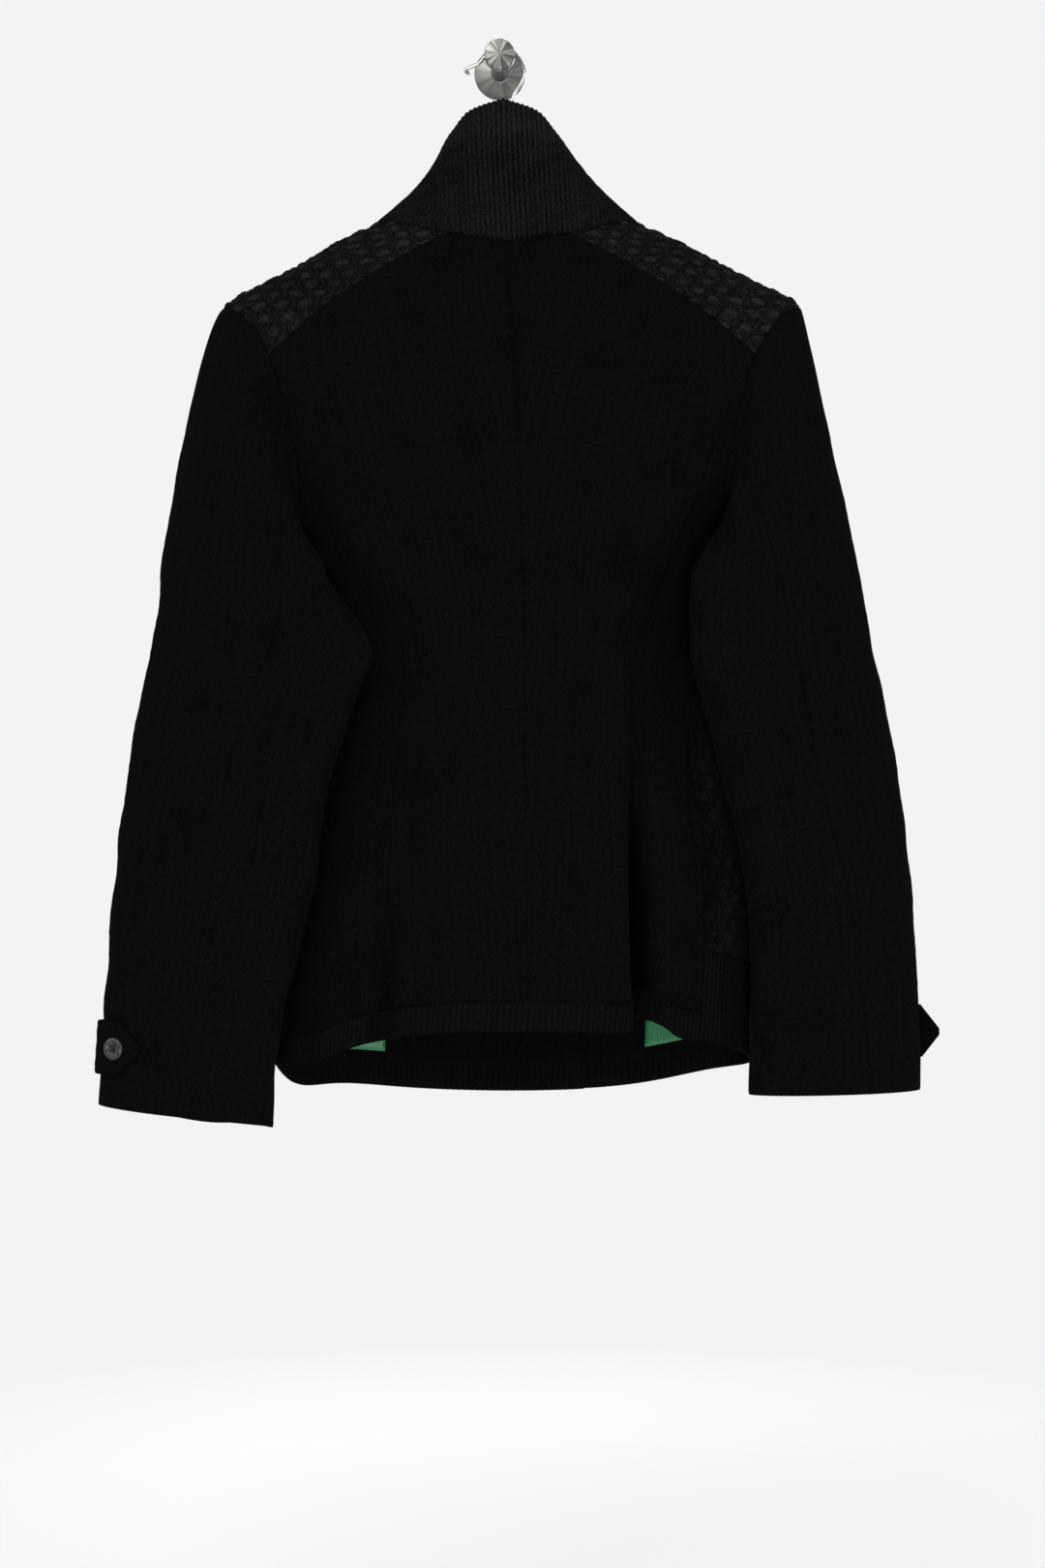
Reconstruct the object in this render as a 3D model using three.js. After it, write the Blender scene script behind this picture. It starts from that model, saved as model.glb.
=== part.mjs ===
// A black knit jacket, hung by its hanger from a wall hook, with its back to the viewer.
// Units are millimetres. The origin is the centre of the hook's rose on the wall. +X is to the viewer's
// right, +Y goes into the wall and +Z is up. "Turn" is the angle round the body in degrees: 0 at the
// centre back, 90 at the viewer's right side, -90 at the left side and 180 at the centre front.
import * as THREE from "three";

// Cloth and seams
const CLOTH = 2;
const LINING_CLOTH = 1;
const SEAM_GAP = 0.35;
const UNDERLAP = 4.2;
const UNDERLAP_TURN = 136;
const UNDERLAP_RUN = 20;
const FRONT_LAP = 57;
const NECK_LAP_TURN = 14;
const NECK_LAP = { foot: -330, run: 130 };

// Knit relief
const RIB_HEIGHT = 0.8;
const RIB_DROP = 0.6;
const YOKE_DROP = 0.5;
const BOBBLE_HEIGHT = 2.2;
const BOBBLE_GROUND = 0.3;

// Lower edge
const SEAM_FOOT_LEVEL = -755;
const BACK_BAND = 22;
const FRONT_RIB = 70;
const HEM_MIDDLE = -780;
const HEM_TILT = 28;
const FACING_TOP = 69;
const FACING_FOOT = 20;
const FACING_TURN = 146;
const FACING_EDGE_TURN = 22;
const LINING_TURN = 106;
const LINING_FOOT = { left: 27, right: 28 };
const BACK_BAND_RIBS = 104;
const FRONT_RIBS_A_TURN = 0.66;

// Body sections from the neck to the hem, one row a level
const BODY = [
  { z: -120, middle: 5, half: 87, axis: -57, back: 44, front: 30 },
  { z: -133, middle: 6, half: 102, axis: -57, back: 48, front: 32 },
  { z: -148, middle: 7, half: 135, axis: -57, back: 51, front: 35 },
  { z: -166, middle: 9, half: 166, axis: -58, back: 54, front: 37 },
  { z: -180, middle: 9, half: 194, axis: -58, back: 57, front: 38 },
  { z: -192, middle: 10, half: 218, axis: -58, back: 59, front: 39 },
  { z: -205, middle: 10, half: 226, axis: -59, back: 61, front: 40 },
  { z: -250, middle: 10, half: 222, axis: -60, back: 63, front: 41 },
  { z: -330, middle: 10, half: 198, axis: -59, back: 64, front: 40 },
  { z: -375, middle: 10, half: 177, axis: -55, back: 64, front: 36 },
  { z: -463, middle: 10, half: 158, axis: -47, back: 70, front: 28 },
  { z: -560, middle: 11, half: 165, axis: -51, back: 68, front: 32 },
  { z: -650, middle: 14, half: 180, axis: -57, back: 65, front: 38 },
  { z: -753, middle: 12, half: 184, axis: -62, back: 60, front: 43 },
  { z: -820, middle: 10, half: 184, axis: -63, back: 59, front: 44 },
];

// Height of the neck seam, by turn
const NECK = [
  { turn: 0, z: -156 },
  { turn: 20, z: -148.5 },
  { turn: 45, z: -139 },
  { turn: 70, z: -134 },
  { turn: 90, z: -133 },
  { turn: 128, z: -139 },
  { turn: 145, z: -150 },
  { turn: 152, z: -160 },
  { turn: 162, z: -172 },
  { turn: 170, z: -182 },
  { turn: 180, z: -188 },
];

// Seams down the back: where each crosses a level, as seen from behind
const SEAMS = [
  { z: -156, centre: 4.6 },
  { z: -285, centre: 13.5, leftPrincess: -161, rightPrincess: 174 },
  { z: -310, centre: 15, leftPrincess: -149, rightPrincess: 163 },
  { z: -349, centre: 16.5, leftPrincess: -131, rightPrincess: 149 },
  { z: -387, centre: 17.5, leftPrincess: -113, rightPrincess: 132 },
  { z: -421, centre: 18.3, leftPrincess: -102, rightPrincess: 119 },
  { z: -471, centre: 19.3, leftPrincess: -91, rightPrincess: 111 },
  { z: -540, centre: 20, leftPrincess: -83, rightPrincess: 105 },
  { z: -628, centre: 20.7, leftPrincess: -76.5, rightPrincess: 108 },
  { z: -727, centre: 21.4, leftPrincess: -74, rightPrincess: 113 },
  { z: -800, centre: 21.6, leftPrincess: -74, rightPrincess: 114 },
];

// Side seams, which swing to the back on the right, by level
const SIDES = [
  { z: -372, left: -90, right: 90 },
  { z: -450, left: -94, right: 72 },
  { z: -545, left: -98, right: 55 },
  { z: -672, left: -100, right: 52 },
  { z: -800, left: -100, right: 48 },
];

// Folds in the body: the level where each is deepest, its reach up and down, and what lies outward
const FOLDS = [
  { seam: "right", shift: 0, z: -720, reach: 150, out: -20, width: 3.4 },
  { seam: "right", shift: -7, z: -560, reach: 90, out: 3, width: 3.5 },
  { seam: "left", shift: -5.5, z: -730, reach: 90, out: -9, width: 3.2 },
  { seam: "left", shift: 4, z: -590, reach: 50, out: -2.5, width: 2.6 },
  { seam: "left", shift: 12, z: -600, reach: 110, out: 2.5, width: 4 },
  { seam: "right", shift: -16, z: -640, reach: 130, out: 2.5, width: 4.5 },
];

// Lifts and dips of the lower edge, by turn
const LIFTS = [
  { turn: 35, up: 12, width: 5 },
  { turn: -60, up: -13, width: 22 },
  { turn: -114, up: -9, width: 15 },
  { turn: 124, up: 6, width: 22 },
];

// Armholes, as a rounded loop in turn and height about the side
const ARMHOLE = { side: 90, level: -285, halfTurn: 36, halfHeight: 87, round: 2 / 3 };
const YOKE_CORNER = 67.5;
const PRINCESS_CORNER = 86;

// Sleeve sections below the armhole, one row a level: edges as seen from behind, depth and twist
const LEFT_SLEEVE = [
  { z: -410, outer: -263, inner: -129, axis: -87, half: 28, twist: 23, seam: 116 },
  { z: -463, outer: -270, inner: -96, axis: -88, half: 23, twist: 17, seam: 96 },
  { z: -500, outer: -277, inner: -107, axis: -88, half: 24, twist: 14, seam: 91 },
  { z: -550, outer: -285, inner: -124, axis: -91, half: 26, twist: 12, seam: 91 },
  { z: -600, outer: -291, inner: -134, axis: -92, half: 27, twist: 10, seam: 90 },
  { z: -650, outer: -296, inner: -141, axis: -94, half: 27, twist: 9, seam: 90 },
  { z: -706, outer: -299.5, inner: -155, axis: -96, half: 27, twist: 7, seam: 89 },
  { z: -768, outer: -302, inner: -168, axis: -98, half: 26, twist: 4, seam: 88 },
  { z: -820, outer: -306, inner: -171, axis: -98, half: 25, twist: 3, seam: 88 },
];
const RIGHT_SLEEVE = [
  { z: -410, outer: 280, inner: 145, axis: -90, half: 28, twist: 22, seam: 90 },
  { z: -463, outer: 288, inner: 144, axis: -90, half: 27, twist: 15, seam: 81 },
  { z: -500, outer: 296, inner: 153, axis: -88, half: 27, twist: 11, seam: 84 },
  { z: -550, outer: 305, inner: 166, axis: -87, half: 28, twist: 9, seam: 86 },
  { z: -600, outer: 311, inner: 179, axis: -88, half: 28, twist: 8, seam: 83 },
  { z: -650, outer: 316, inner: 188, axis: -90, half: 28, twist: 7, seam: 79 },
  { z: -706, outer: 319, inner: 191, axis: -92, half: 28, twist: 5, seam: 75 },
  { z: -768, outer: 321, inner: 190, axis: -94, half: 27, twist: 3, seam: 70 },
  { z: -820, outer: 321, inner: 189, axis: -95, half: 26, twist: 2, seam: 68 },
];
const FRONT_SLEEVE_SEAM = 250;
const SLEEVE_SEAMS = { back: 101.25, front: 236.25 };
const CAP_STEPS = 5;
// The cuff's edge: its level, its slope from the inner side up to the outer one and its lifted corner
const CUFF = {
  left: { level: -819, slope: 9.5, corner: 3 },
  right: { level: -800.5, slope: 2, corner: 12 },
  cornerAngle: 185,
  cornerWidth: 24,
};

// Collar
const COLLAR_TOP = { middle: 3, half: 45.5, axis: -54, depth: 30 };
const COLLAR_RIM = [
  { turn: 0, z: -38 },
  { turn: 36, z: -47 },
  { turn: 56, z: -59 },
  { turn: 90, z: -72 },
  { turn: 130, z: -78 },
  { turn: 180, z: -80 },
];
const COLLAR_RIBS = 80;
const COLLAR_ROWS = 4;
const COLLAR_LAP_TURN = 22;
const COLLAR_FLARE = { left: 0.15, right: 0.08 };

// Buttons
const CUFF_BUTTON = { radius: 8.5, thick: 2.6 };
const FRONT_BUTTON = { radius: 11, thick: 3 };
const FRONT_BUTTON_LEVELS = [-235, -345, -455, -565];
const BUTTON_HOLE = { radius: 1.1, away: 2.3 };

// Cuff tabs
const TAB_HALF_HEIGHT = 20;
const TAB_POINT = 0.8;
const CLOTH_CLEAR = 0.6;
const TAB_TIP_WIDTH = 0.12;
const TAB_STAND_WIDTH = 34;
const TABS = {
  left: {
    level: -766, from: -34, to: 58, leaves: 1, stand: 2.4, tipX: 0, tipY: 0, button: 0.76, facing: 1,
  },
  right: {
    level: -755, from: -100, to: -32, leaves: 0.62, stand: 0, tipX: 24, tipY: -14, button: 0.4,
    facing: -1,
  },
};

// Wall hook, hanger hook and hanger
const ROSE = { radius: 20.5, thick: 5 };
const STEM_RADIUS = 6.5;
const CAP = { radius: 11.8, face: -60, thick: 10 };
const WIRE = { radius: 1.4 };
const WIRE_ROUTE = [
  { x: -23.5, y: -45, z: -12.5 },
  { x: -26.5, y: -45, z: -9 },
  { x: -22, y: -45, z: -6.3 },
  { x: -16, y: -45, z: -3.5 },
  { x: -9.5, y: -45, z: 3.6 },
  { x: 0, y: -45, z: 8.4 },
  { x: 9.5, y: -45, z: 5.8 },
  { x: 16, y: -45, z: -1 },
  { x: 19.3, y: -45, z: -10 },
  { x: 17, y: -45.5, z: -18.5 },
  { x: 11, y: -46.5, z: -29 },
  { x: 7, y: -48.5, z: -42 },
  { x: 5, y: -52, z: -62 },
  { x: 5, y: -56, z: -88 },
  { x: 5, y: -57, z: -111.6 },
];
const HANGER = {
  middle: 8, reach: 172, neck: 102, height: 20, halfThick: 6, crown: -112, axis: -57.5, slack: 4,
};

const rad = (degrees) => (degrees * Math.PI) / 180;
const degrees = (radians) => (radians * 180) / Math.PI;
const mix = (a, b, share) => a + (b - a) * share;
const soft = (share) => {
  const s = Math.min(1, Math.max(0, share));
  return s * s * (3 - 2 * s);
};
const bell = (distance, width) => Math.exp(-((distance / width) ** 2));

// A smooth curve through the rows of a table, level beyond its ends. Rows without the column are passed.
function column(table, along, name) {
  const rows = table.filter((row) => name in row).sort((a, b) => a[along] - b[along]);
  const xs = rows.map((row) => row[along]);
  const ys = rows.map((row) => row[name]);
  const last = rows.length - 1;
  const slope = (i) => {
    const a = Math.max(0, i - 1);
    const b = Math.min(last, i + 1);
    return (ys[b] - ys[a]) / (xs[b] - xs[a]);
  };
  return (x) => {
    if (x <= xs[0]) return ys[0];
    if (x >= xs[last]) return ys[last];
    let i = 0;
    while (x > xs[i + 1]) i += 1;
    const gap = xs[i + 1] - xs[i];
    const s = (x - xs[i]) / gap;
    const bend = s * s * (3 - 2 * s);
    const lead = s * (1 - s) * gap;
    return mix(ys[i], ys[i + 1], bend) + lead * ((1 - s) * slope(i) - s * slope(i + 1));
  };
}

const body = {};
for (const name of ["middle", "half", "axis", "back", "front"]) {
  body[name] = column(BODY, "z", name);
}
const neckHeight = column(NECK, "turn", "z");
const rimHeight = column(COLLAR_RIM, "turn", "z");

// The turn at which the body's back has this x at this level
const turnAt = (x, z) => degrees(Math.asin((x - body.middle(z)) / body.half(z)));

const seamX = {
  centre: column(SEAMS, "z", "centre"),
  left: column(SEAMS, "z", "leftPrincess"),
  right: column(SEAMS, "z", "rightPrincess"),
};
const princessTurn = (side, z) => turnAt(seamX[side](z), z);
const sideTurn = { left: column(SIDES, "z", "left"), right: column(SIDES, "z", "right") };

// How far the folds push the body's surface outward
function foldOut(turn, z) {
  let out = 0;
  for (const fold of FOLDS) {
    const at = princessTurn(fold.seam, Math.min(z, -440)) + fold.shift;
    out += fold.out * bell(turn - at, fold.width) * bell(z - fold.z, fold.reach);
  }
  return out;
}

// The left front passes under the right one at the middle of the front
const lapIn = (turn) => -UNDERLAP * soft((-turn - UNDERLAP_TURN) / UNDERLAP_RUN);

// A point of the body's outer surface, and the way out from it
function bodyPoint(turn, z) {
  const a = rad(turn);
  const depth = Math.cos(a) > 0 ? body.back(z) : body.front(z);
  const out = foldOut(turn, z) + lapIn(turn);
  return new THREE.Vector3(
    body.middle(z) + (body.half(z) + out) * Math.sin(a),
    body.axis(z) - (depth + out) * Math.cos(a),
    z,
  );
}
function wayOut(point, u, v, du, dv) {
  const alongU = point(u + du, v).sub(point(u - du, v));
  const alongV = point(u, v + dv).sub(point(u, v - dv));
  return alongU.cross(alongV).normalize();
}
const bodyOut = (turn, z) => wayOut(bodyPoint, turn, z, 0.2, 0.4);

// Height of the lower edge
function hemHeight(turn) {
  let z = HEM_MIDDLE + HEM_TILT * Math.cos(rad(turn));
  const round = turn > 180 ? turn - 360 : turn < -180 ? turn + 360 : turn;
  for (const lift of LIFTS) z += lift.up * bell(round - lift.turn, lift.width);
  return z;
}

// Points on the armhole's loop, from 0 at the shoulder through 90 at the back to 180 below
function armhole(side, angle) {
  const way = side === "left" ? -1 : 1;
  const c = Math.cos(rad(angle));
  const s = Math.sin(rad(angle));
  const turn = ARMHOLE.side - ARMHOLE.halfTurn * Math.sign(s) * Math.abs(s) ** ARMHOLE.round;
  const z = ARMHOLE.level + ARMHOLE.halfHeight * Math.sign(c) * Math.abs(c) ** ARMHOLE.round;
  return [way * turn, z];
}

// A closed wall from rows of outer points and rows of inner points. The inner rows hold every step-th
// column. A ring has its last column joined to its first.
function wallGeometry(outer, inner, step, ring) {
  const positions = [];
  const index = [];
  const put = (rows) =>
    rows.map((row) => {
      const ids = row.map((p) => positions.push(p.x, p.y, p.z) / 3 - 1);
      if (ring) ids.push(ids[0]);
      return ids;
    });
  const o = put(outer);
  const n = put(inner);
  const top = o.length - 1;
  const faces = (g, inward) => {
    for (let j = 0; j < g.length - 1; j += 1) {
      for (let i = 0; i < g[0].length - 1; i += 1) {
        const [a, b, c, d] = [g[j][i], g[j][i + 1], g[j + 1][i + 1], g[j + 1][i]];
        if (inward) index.push(a, c, b, a, d, c);
        else index.push(a, b, c, a, c, d);
      }
    }
  };
  faces(o, false);
  faces(n, true);
  for (let q = 0; q < n[0].length - 1; q += 1) {
    for (let i = q * step; i < (q + 1) * step; i += 1) {
      index.push(o[0][i + 1], o[0][i], n[0][q], o[top][i], o[top][i + 1], n[top][q]);
    }
    const e = (q + 1) * step;
    index.push(o[0][e], n[0][q], n[0][q + 1], n[top][q + 1], n[top][q], o[top][e]);
  }
  const end = o[0].length - 1;
  const innerEnd = n[0].length - 1;
  for (let j = 0; j < top && !ring; j += 1) {
    index.push(o[j][0], o[j + 1][0], n[j][0], o[j + 1][0], n[j + 1][0], n[j][0]);
    index.push(o[j + 1][end], o[j][end], n[j][innerEnd]);
    index.push(o[j + 1][end], n[j][innerEnd], n[j + 1][innerEnd]);
  }
  return closedGeometry(positions, index);
}

// A geometry with its faces turned outward, from the sign of its volume
function closedGeometry(positions, index) {
  const p = (i) => new THREE.Vector3().fromArray(positions, index[i] * 3);
  let volume = 0;
  for (let i = 0; i < index.length; i += 3) volume += p(i).dot(p(i + 1).cross(p(i + 2)));
  if (volume < 0) {
    for (let i = 0; i < index.length; i += 3) {
      [index[i + 1], index[i + 2]] = [index[i + 2], index[i + 1]];
    }
  }
  const geometry = new THREE.BufferGeometry();
  geometry.setAttribute("position", new THREE.Float32BufferAttribute(positions, 3));
  geometry.setIndex(index);
  geometry.computeVertexNormals();
  return geometry;
}

// A cloth wall over a grid of places. Each place has a point and a way out. The outer face is raised by
// relief, the inner face lies one thickness in, and the border is drawn in by half a seam gap.
function clothWall(places, { thick = CLOTH, lift = 0, relief = () => 0, step = 1, ring = false }) {
  const rows = places.length;
  const columns = places[0].length;
  const half = SEAM_GAP / 2;
  const pulled = places.map((row, j) =>
    row.map((place, i) => {
      const at = place.point.clone();
      const pull = (jj, ii) => {
        const toward = places[jj][ii].point.clone().sub(place.point).setLength(half);
        at.add(toward);
      };
      if (j === 0) pull(1, i);
      if (j === rows - 1) pull(rows - 2, i);
      if (i === 0 && !ring) pull(j, 1);
      if (i === columns - 1 && !ring) pull(j, columns - 2);
      return at;
    }),
  );
  const moved = (j, i, by) => pulled[j][i].clone().addScaledVector(places[j][i].out, by);
  const outer = places.map((row, j) => row.map((_, i) => moved(j, i, lift + relief(i, j))));
  const inner = places.map((row, j) =>
    row.map((_, i) => moved(j, i, lift - thick)).filter((_, i) => i % step === 0),
  );
  return wallGeometry(outer, inner, step, ring);
}

// Places on the body between four borders, each a list of [turn, level] pairs
function panel(left, right, bottom, top) {
  const rows = left.length - 1;
  const columns = bottom.length - 1;
  return left.map((_, j) =>
    bottom.map((__, i) => {
      const u = i / columns;
      const v = j / rows;
      const [turn, z] = [0, 1].map((k) => {
        const across = mix(left[j][k], right[j][k], u);
        const up = mix(bottom[i][k], top[i][k], v);
        const low = mix(bottom[0][k], bottom[columns][k], u);
        const high = mix(top[0][k], top[columns][k], u);
        return across + up - mix(low, high, v);
      });
      return { point: bodyPoint(turn, z), out: bodyOut(turn, z) };
    }),
  );
}
const steps = (count, at) => Array.from({ length: count + 1 }, (_, i) => at(i / count));

// Levels down a seam from its head to a height above the hem, closer at the head
const WEDGE_ROWS = 8;
const SIDE_ROWS = 7;
const PRINCESS_HEAD_END = -405;

function princessLine(side, lift) {
  const head = armhole(side, PRINCESS_CORNER);
  const foot = hemHeight(princessTurn(side, SEAM_FOOT_LEVEL)) + lift;
  const levels = [
    ...steps(WEDGE_ROWS, (s) => mix(head[1], PRINCESS_HEAD_END, s)),
    ...steps(SIDE_ROWS, (s) => mix(PRINCESS_HEAD_END, foot, s)).slice(1),
  ];
  const line = levels.map((z) => [princessTurn(side, z), z]);
  line[0] = head;
  return line;
}
function sideLine(side, lift) {
  const hem = hemHeight(sideTurn[side](HEM_MIDDLE));
  const levels = steps(SIDE_ROWS - 1, (s) =>
    mix(ARMHOLE.level - ARMHOLE.halfHeight, hem + FRONT_RIB, s),
  );
  if (lift < FRONT_RIB) levels.push(hem + lift);
  return levels.map((z) => [sideTurn[side](z), z]);
}
const armholeRun = (side, from, to, count) =>
  steps(count, (s) => armhole(side, mix(from, to, s)));

// The lower edge between two turns, a height above the hem. A bend over 0 brings the steps closer at
// the end, and one under 0 brings them closer at the start.
const hemRun = (from, to, count, lift, bend = 1) =>
  steps(count, (s) => {
    const turn = mix(from, to, bend > 0 ? 1 - (1 - s) ** bend : s ** -bend);
    return [turn, hemHeight(turn) + lift];
  });

// The neck seam between two turns
const neckRun = (from, to, count) =>
  steps(count, (s) => {
    const turn = mix(from, to, s);
    return [turn, neckHeight(Math.abs(turn))];
  });

// The yoke's back seam runs from the neck down to the armhole, and its front seam likewise
const YOKE_NECK_TURN = { back: 20, front: 140 };
const YOKE_BOW = { back: 7, front: 4 };
const YOKE_STEPS = 20;
function yokeSeam(side, face) {
  const way = side === "left" ? -1 : 1;
  const neckTurn = YOKE_NECK_TURN[face];
  const head = [way * neckTurn, neckHeight(neckTurn)];
  const foot = armhole(side, face === "back" ? YOKE_CORNER : 360 - YOKE_CORNER);
  const headPoint = bodyPoint(...head);
  const footPoint = bodyPoint(...foot);
  return steps(YOKE_STEPS / 2, (s) => {
    const z = mix(head[1], foot[1], s) + YOKE_BOW[face] * Math.sin(Math.PI * s);
    const x = mix(headPoint.x, footPoint.x, s);
    const turn = turnAt(x, z);
    return [face === "back" ? turn : way * 180 - turn, z];
  });
}

const jacket = new THREE.Group();
const knit = { color: 0x101011, roughness: 0.95 };
const ribKnit = { color: 0x171719, roughness: 0.95 };
function add(name, geometry, look) {
  const mesh = new THREE.Mesh(geometry, new THREE.MeshStandardMaterial({ metalness: 0, ...look }));
  mesh.name = name;
  jacket.add(mesh);
}

// Back panels, from the centre seam to the armhole and the princess seam
const BACK_COLUMNS = 10;
const BACK_BEND = 1.5;
for (const side of ["left", "right"]) {
  const princess = princessLine(side, BACK_BAND);
  const outerSeam = [
    ...armholeRun(side, YOKE_CORNER, PRINCESS_CORNER, 2).slice(0, 2),
    ...princess,
  ].reverse();
  const yoke = yokeSeam(side, "back");
  const rows = outerSeam.length - 1;
  const foot = [turnAt(seamX.centre(SEAM_FOOT_LEVEL), SEAM_FOOT_LEVEL), 0];
  foot[1] = hemHeight(foot[0]) + BACK_BAND;
  const centre = steps(rows, (s) => {
    const z = mix(foot[1], neckHeight(0), s);
    return [turnAt(seamX.centre(z), z), z];
  });
  const bottom = hemRun(foot[0], outerSeam[0][0], BACK_COLUMNS, BACK_BAND, BACK_BEND);
  const head = centre[rows];
  const along = [...neckRun(head[0], yoke[0][0], 3).slice(0, 3), ...yoke];
  const top = steps(BACK_COLUMNS, (s) => {
    const at = (1 - (1 - s) ** BACK_BEND) * (along.length - 1);
    const i = Math.min(along.length - 2, Math.floor(at));
    return [0, 1].map((k) => mix(along[i][k], along[i + 1][k], at - i) - k * YOKE_DROP);
  });
  bottom[BACK_COLUMNS] = outerSeam[0];
  bottom[0] = centre[0];
  top[0] = head;
  add(`back_${side}`, clothWall(panel(centre, outerSeam, bottom, top), {}), knit);
}

// Side-back panels, from the princess seam to the armhole and the side seam
const SIDE_BACK_COLUMNS = 8;
const SIDE_BACK_BEND = 1.4;
for (const side of ["left", "right"]) {
  const princess = princessLine(side, BACK_BAND).reverse();
  const outerSeam = [
    ...armholeRun(side, 90, 180, WEDGE_ROWS),
    ...sideLine(side, BACK_BAND).slice(1),
  ].reverse();
  const last = princess.length - 1;
  const bottom = hemRun(
    princess[0][0], outerSeam[0][0], SIDE_BACK_COLUMNS, BACK_BAND, -SIDE_BACK_BEND,
  );
  bottom[0] = princess[0];
  bottom[SIDE_BACK_COLUMNS] = outerSeam[0];
  const top = steps(SIDE_BACK_COLUMNS, (s) =>
    [0, 1].map((k) => mix(princess[last][k], outerSeam[last][k], s ** SIDE_BACK_BEND)),
  );
  add(`side_back_${side}`, clothWall(panel(princess, outerSeam, bottom, top), {}), knit);
}

// Front panels, from the side seam and armhole to the lapped edge
const FRONT_COLUMNS = 10;
const lapTurn = (side, z) => {
  const past = degrees(Math.asin(FRONT_LAP / body.half(z)));
  return side === "left" ? -180 - past : 180 + past;
};
for (const side of ["left", "right"]) {
  const way = side === "left" ? -1 : 1;
  const outerSeam = [
    ...armholeRun(side, 360 - YOKE_CORNER, 180, 10),
    ...sideLine(side, FRONT_RIB).slice(1),
  ].reverse();
  const rows = outerSeam.length - 1;
  const yoke = yokeSeam(side, "front").reverse();
  const headTurn = way * (180 + NECK_LAP_TURN);
  const neck = neckRun(yoke[yoke.length - 1][0], way * 180, 6).slice(1);
  const headLevel = neckHeight(180);
  const along = [...yoke, ...neck, [headTurn, headLevel]];
  const top = steps(FRONT_COLUMNS, (s) => {
    const at = s * (along.length - 1);
    const i = Math.min(along.length - 2, Math.floor(at));
    return [0, 1].map((k) => mix(along[i][k], along[i + 1][k], at - i));
  });
  const edge = steps(rows, (s) => {
    const z = mix(hemHeight(lapTurn(side, HEM_MIDDLE)) + FRONT_RIB, headLevel, s);
    return [mix(lapTurn(side, z), headTurn, soft((z - NECK_LAP.foot) / NECK_LAP.run)), z];
  });
  const bottom = hemRun(outerSeam[0][0], edge[0][0], FRONT_COLUMNS, FRONT_RIB);
  bottom[0] = outerSeam[0];
  bottom[FRONT_COLUMNS] = edge[0];
  top[0] = outerSeam[rows];
  top[FRONT_COLUMNS] = edge[rows];
  add(`front_${side}`, clothWall(panel(outerSeam, edge, bottom, top), {}), knit);
}

// Yokes of bobble knit over the shoulders, between the back and front seams
const YOKE_ROWS = 12;
for (const side of ["left", "right"]) {
  const way = side === "left" ? -1 : 1;
  const widen = (line) =>
    steps(YOKE_STEPS, (s) => {
      const at = s * (line.length - 1);
      const i = Math.min(line.length - 2, Math.floor(at));
      return [0, 1].map((k) => mix(line[i][k], line[i + 1][k], at - i));
    });
  const back = widen(yokeSeam(side, "back"));
  const front = widen(yokeSeam(side, "front"));
  const neck = neckRun(way * YOKE_NECK_TURN.back, way * YOKE_NECK_TURN.front, YOKE_ROWS);
  const arm = armholeRun(side, YOKE_CORNER, -YOKE_CORNER, YOKE_ROWS);
  const relief = (i, j) => {
    const inside = i > 0 && j > 0 && i < YOKE_STEPS && j < YOKE_ROWS;
    return inside && (i + j) % 2 === 0 ? BOBBLE_HEIGHT : BOBBLE_GROUND;
  };
  add(`yoke_${side}`, clothWall(panel(neck, arm, back, front), { relief }), knit);
}

const sleeveOf = {};
for (const [side, rows] of [["left", LEFT_SLEEVE], ["right", RIGHT_SLEEVE]]) {
  const table = {};
  for (const name of ["outer", "inner", "axis", "half", "twist", "seam"]) {
    table[name] = column(rows, "z", name);
  }
  sleeveOf[side] = table;
}
const CAP_LEAD = { left: 0.28, right: 0.03, foot: 0.9 };
const SLEEVE_HEAD = -410;
const TWIST_SHARE = 0.35;
const CAP_STAND = { top: 1.6 * SEAM_GAP, foot: 4 * SEAM_GAP };

// The foot of the armhole meets the sleeve's section on its wall side, so the ring turns as it leaves
const RING_TURN = 42;
const ringTurn = (angle) => RING_TURN * Math.sin(rad(angle) / 2) ** 2;
function ringAngle(sectionAngle) {
  let angle = sectionAngle;
  for (let i = 0; i < 12; i += 1) angle = sectionAngle - ringTurn(angle);
  return angle;
}

// A sleeve's section below the cap: 0 at its outer edge, 90 at the back and 180 at its inner edge, each
// reached by the ring's angle and its turn
function sleeveSection(side, ring, z) {
  const t = sleeveOf[side];
  const angle = ring + ringTurn(ring);
  const way = side === "left" ? -1 : 1;
  const centre = (t.outer(z) + t.inner(z)) / 2;
  const twist = rad(t.twist(z));
  const reach = Math.abs(t.outer(z) - t.inner(z)) / 2 / Math.cos(twist);
  const along = reach * Math.cos(rad(angle));
  const across = t.half(z) * Math.sin(rad(angle));
  return new THREE.Vector3(
    centre + way * (along * Math.cos(twist) - across * Math.sin(twist) * TWIST_SHARE),
    t.axis(z) + along * Math.sin(twist) - across * Math.cos(twist),
    z,
  );
}

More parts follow.
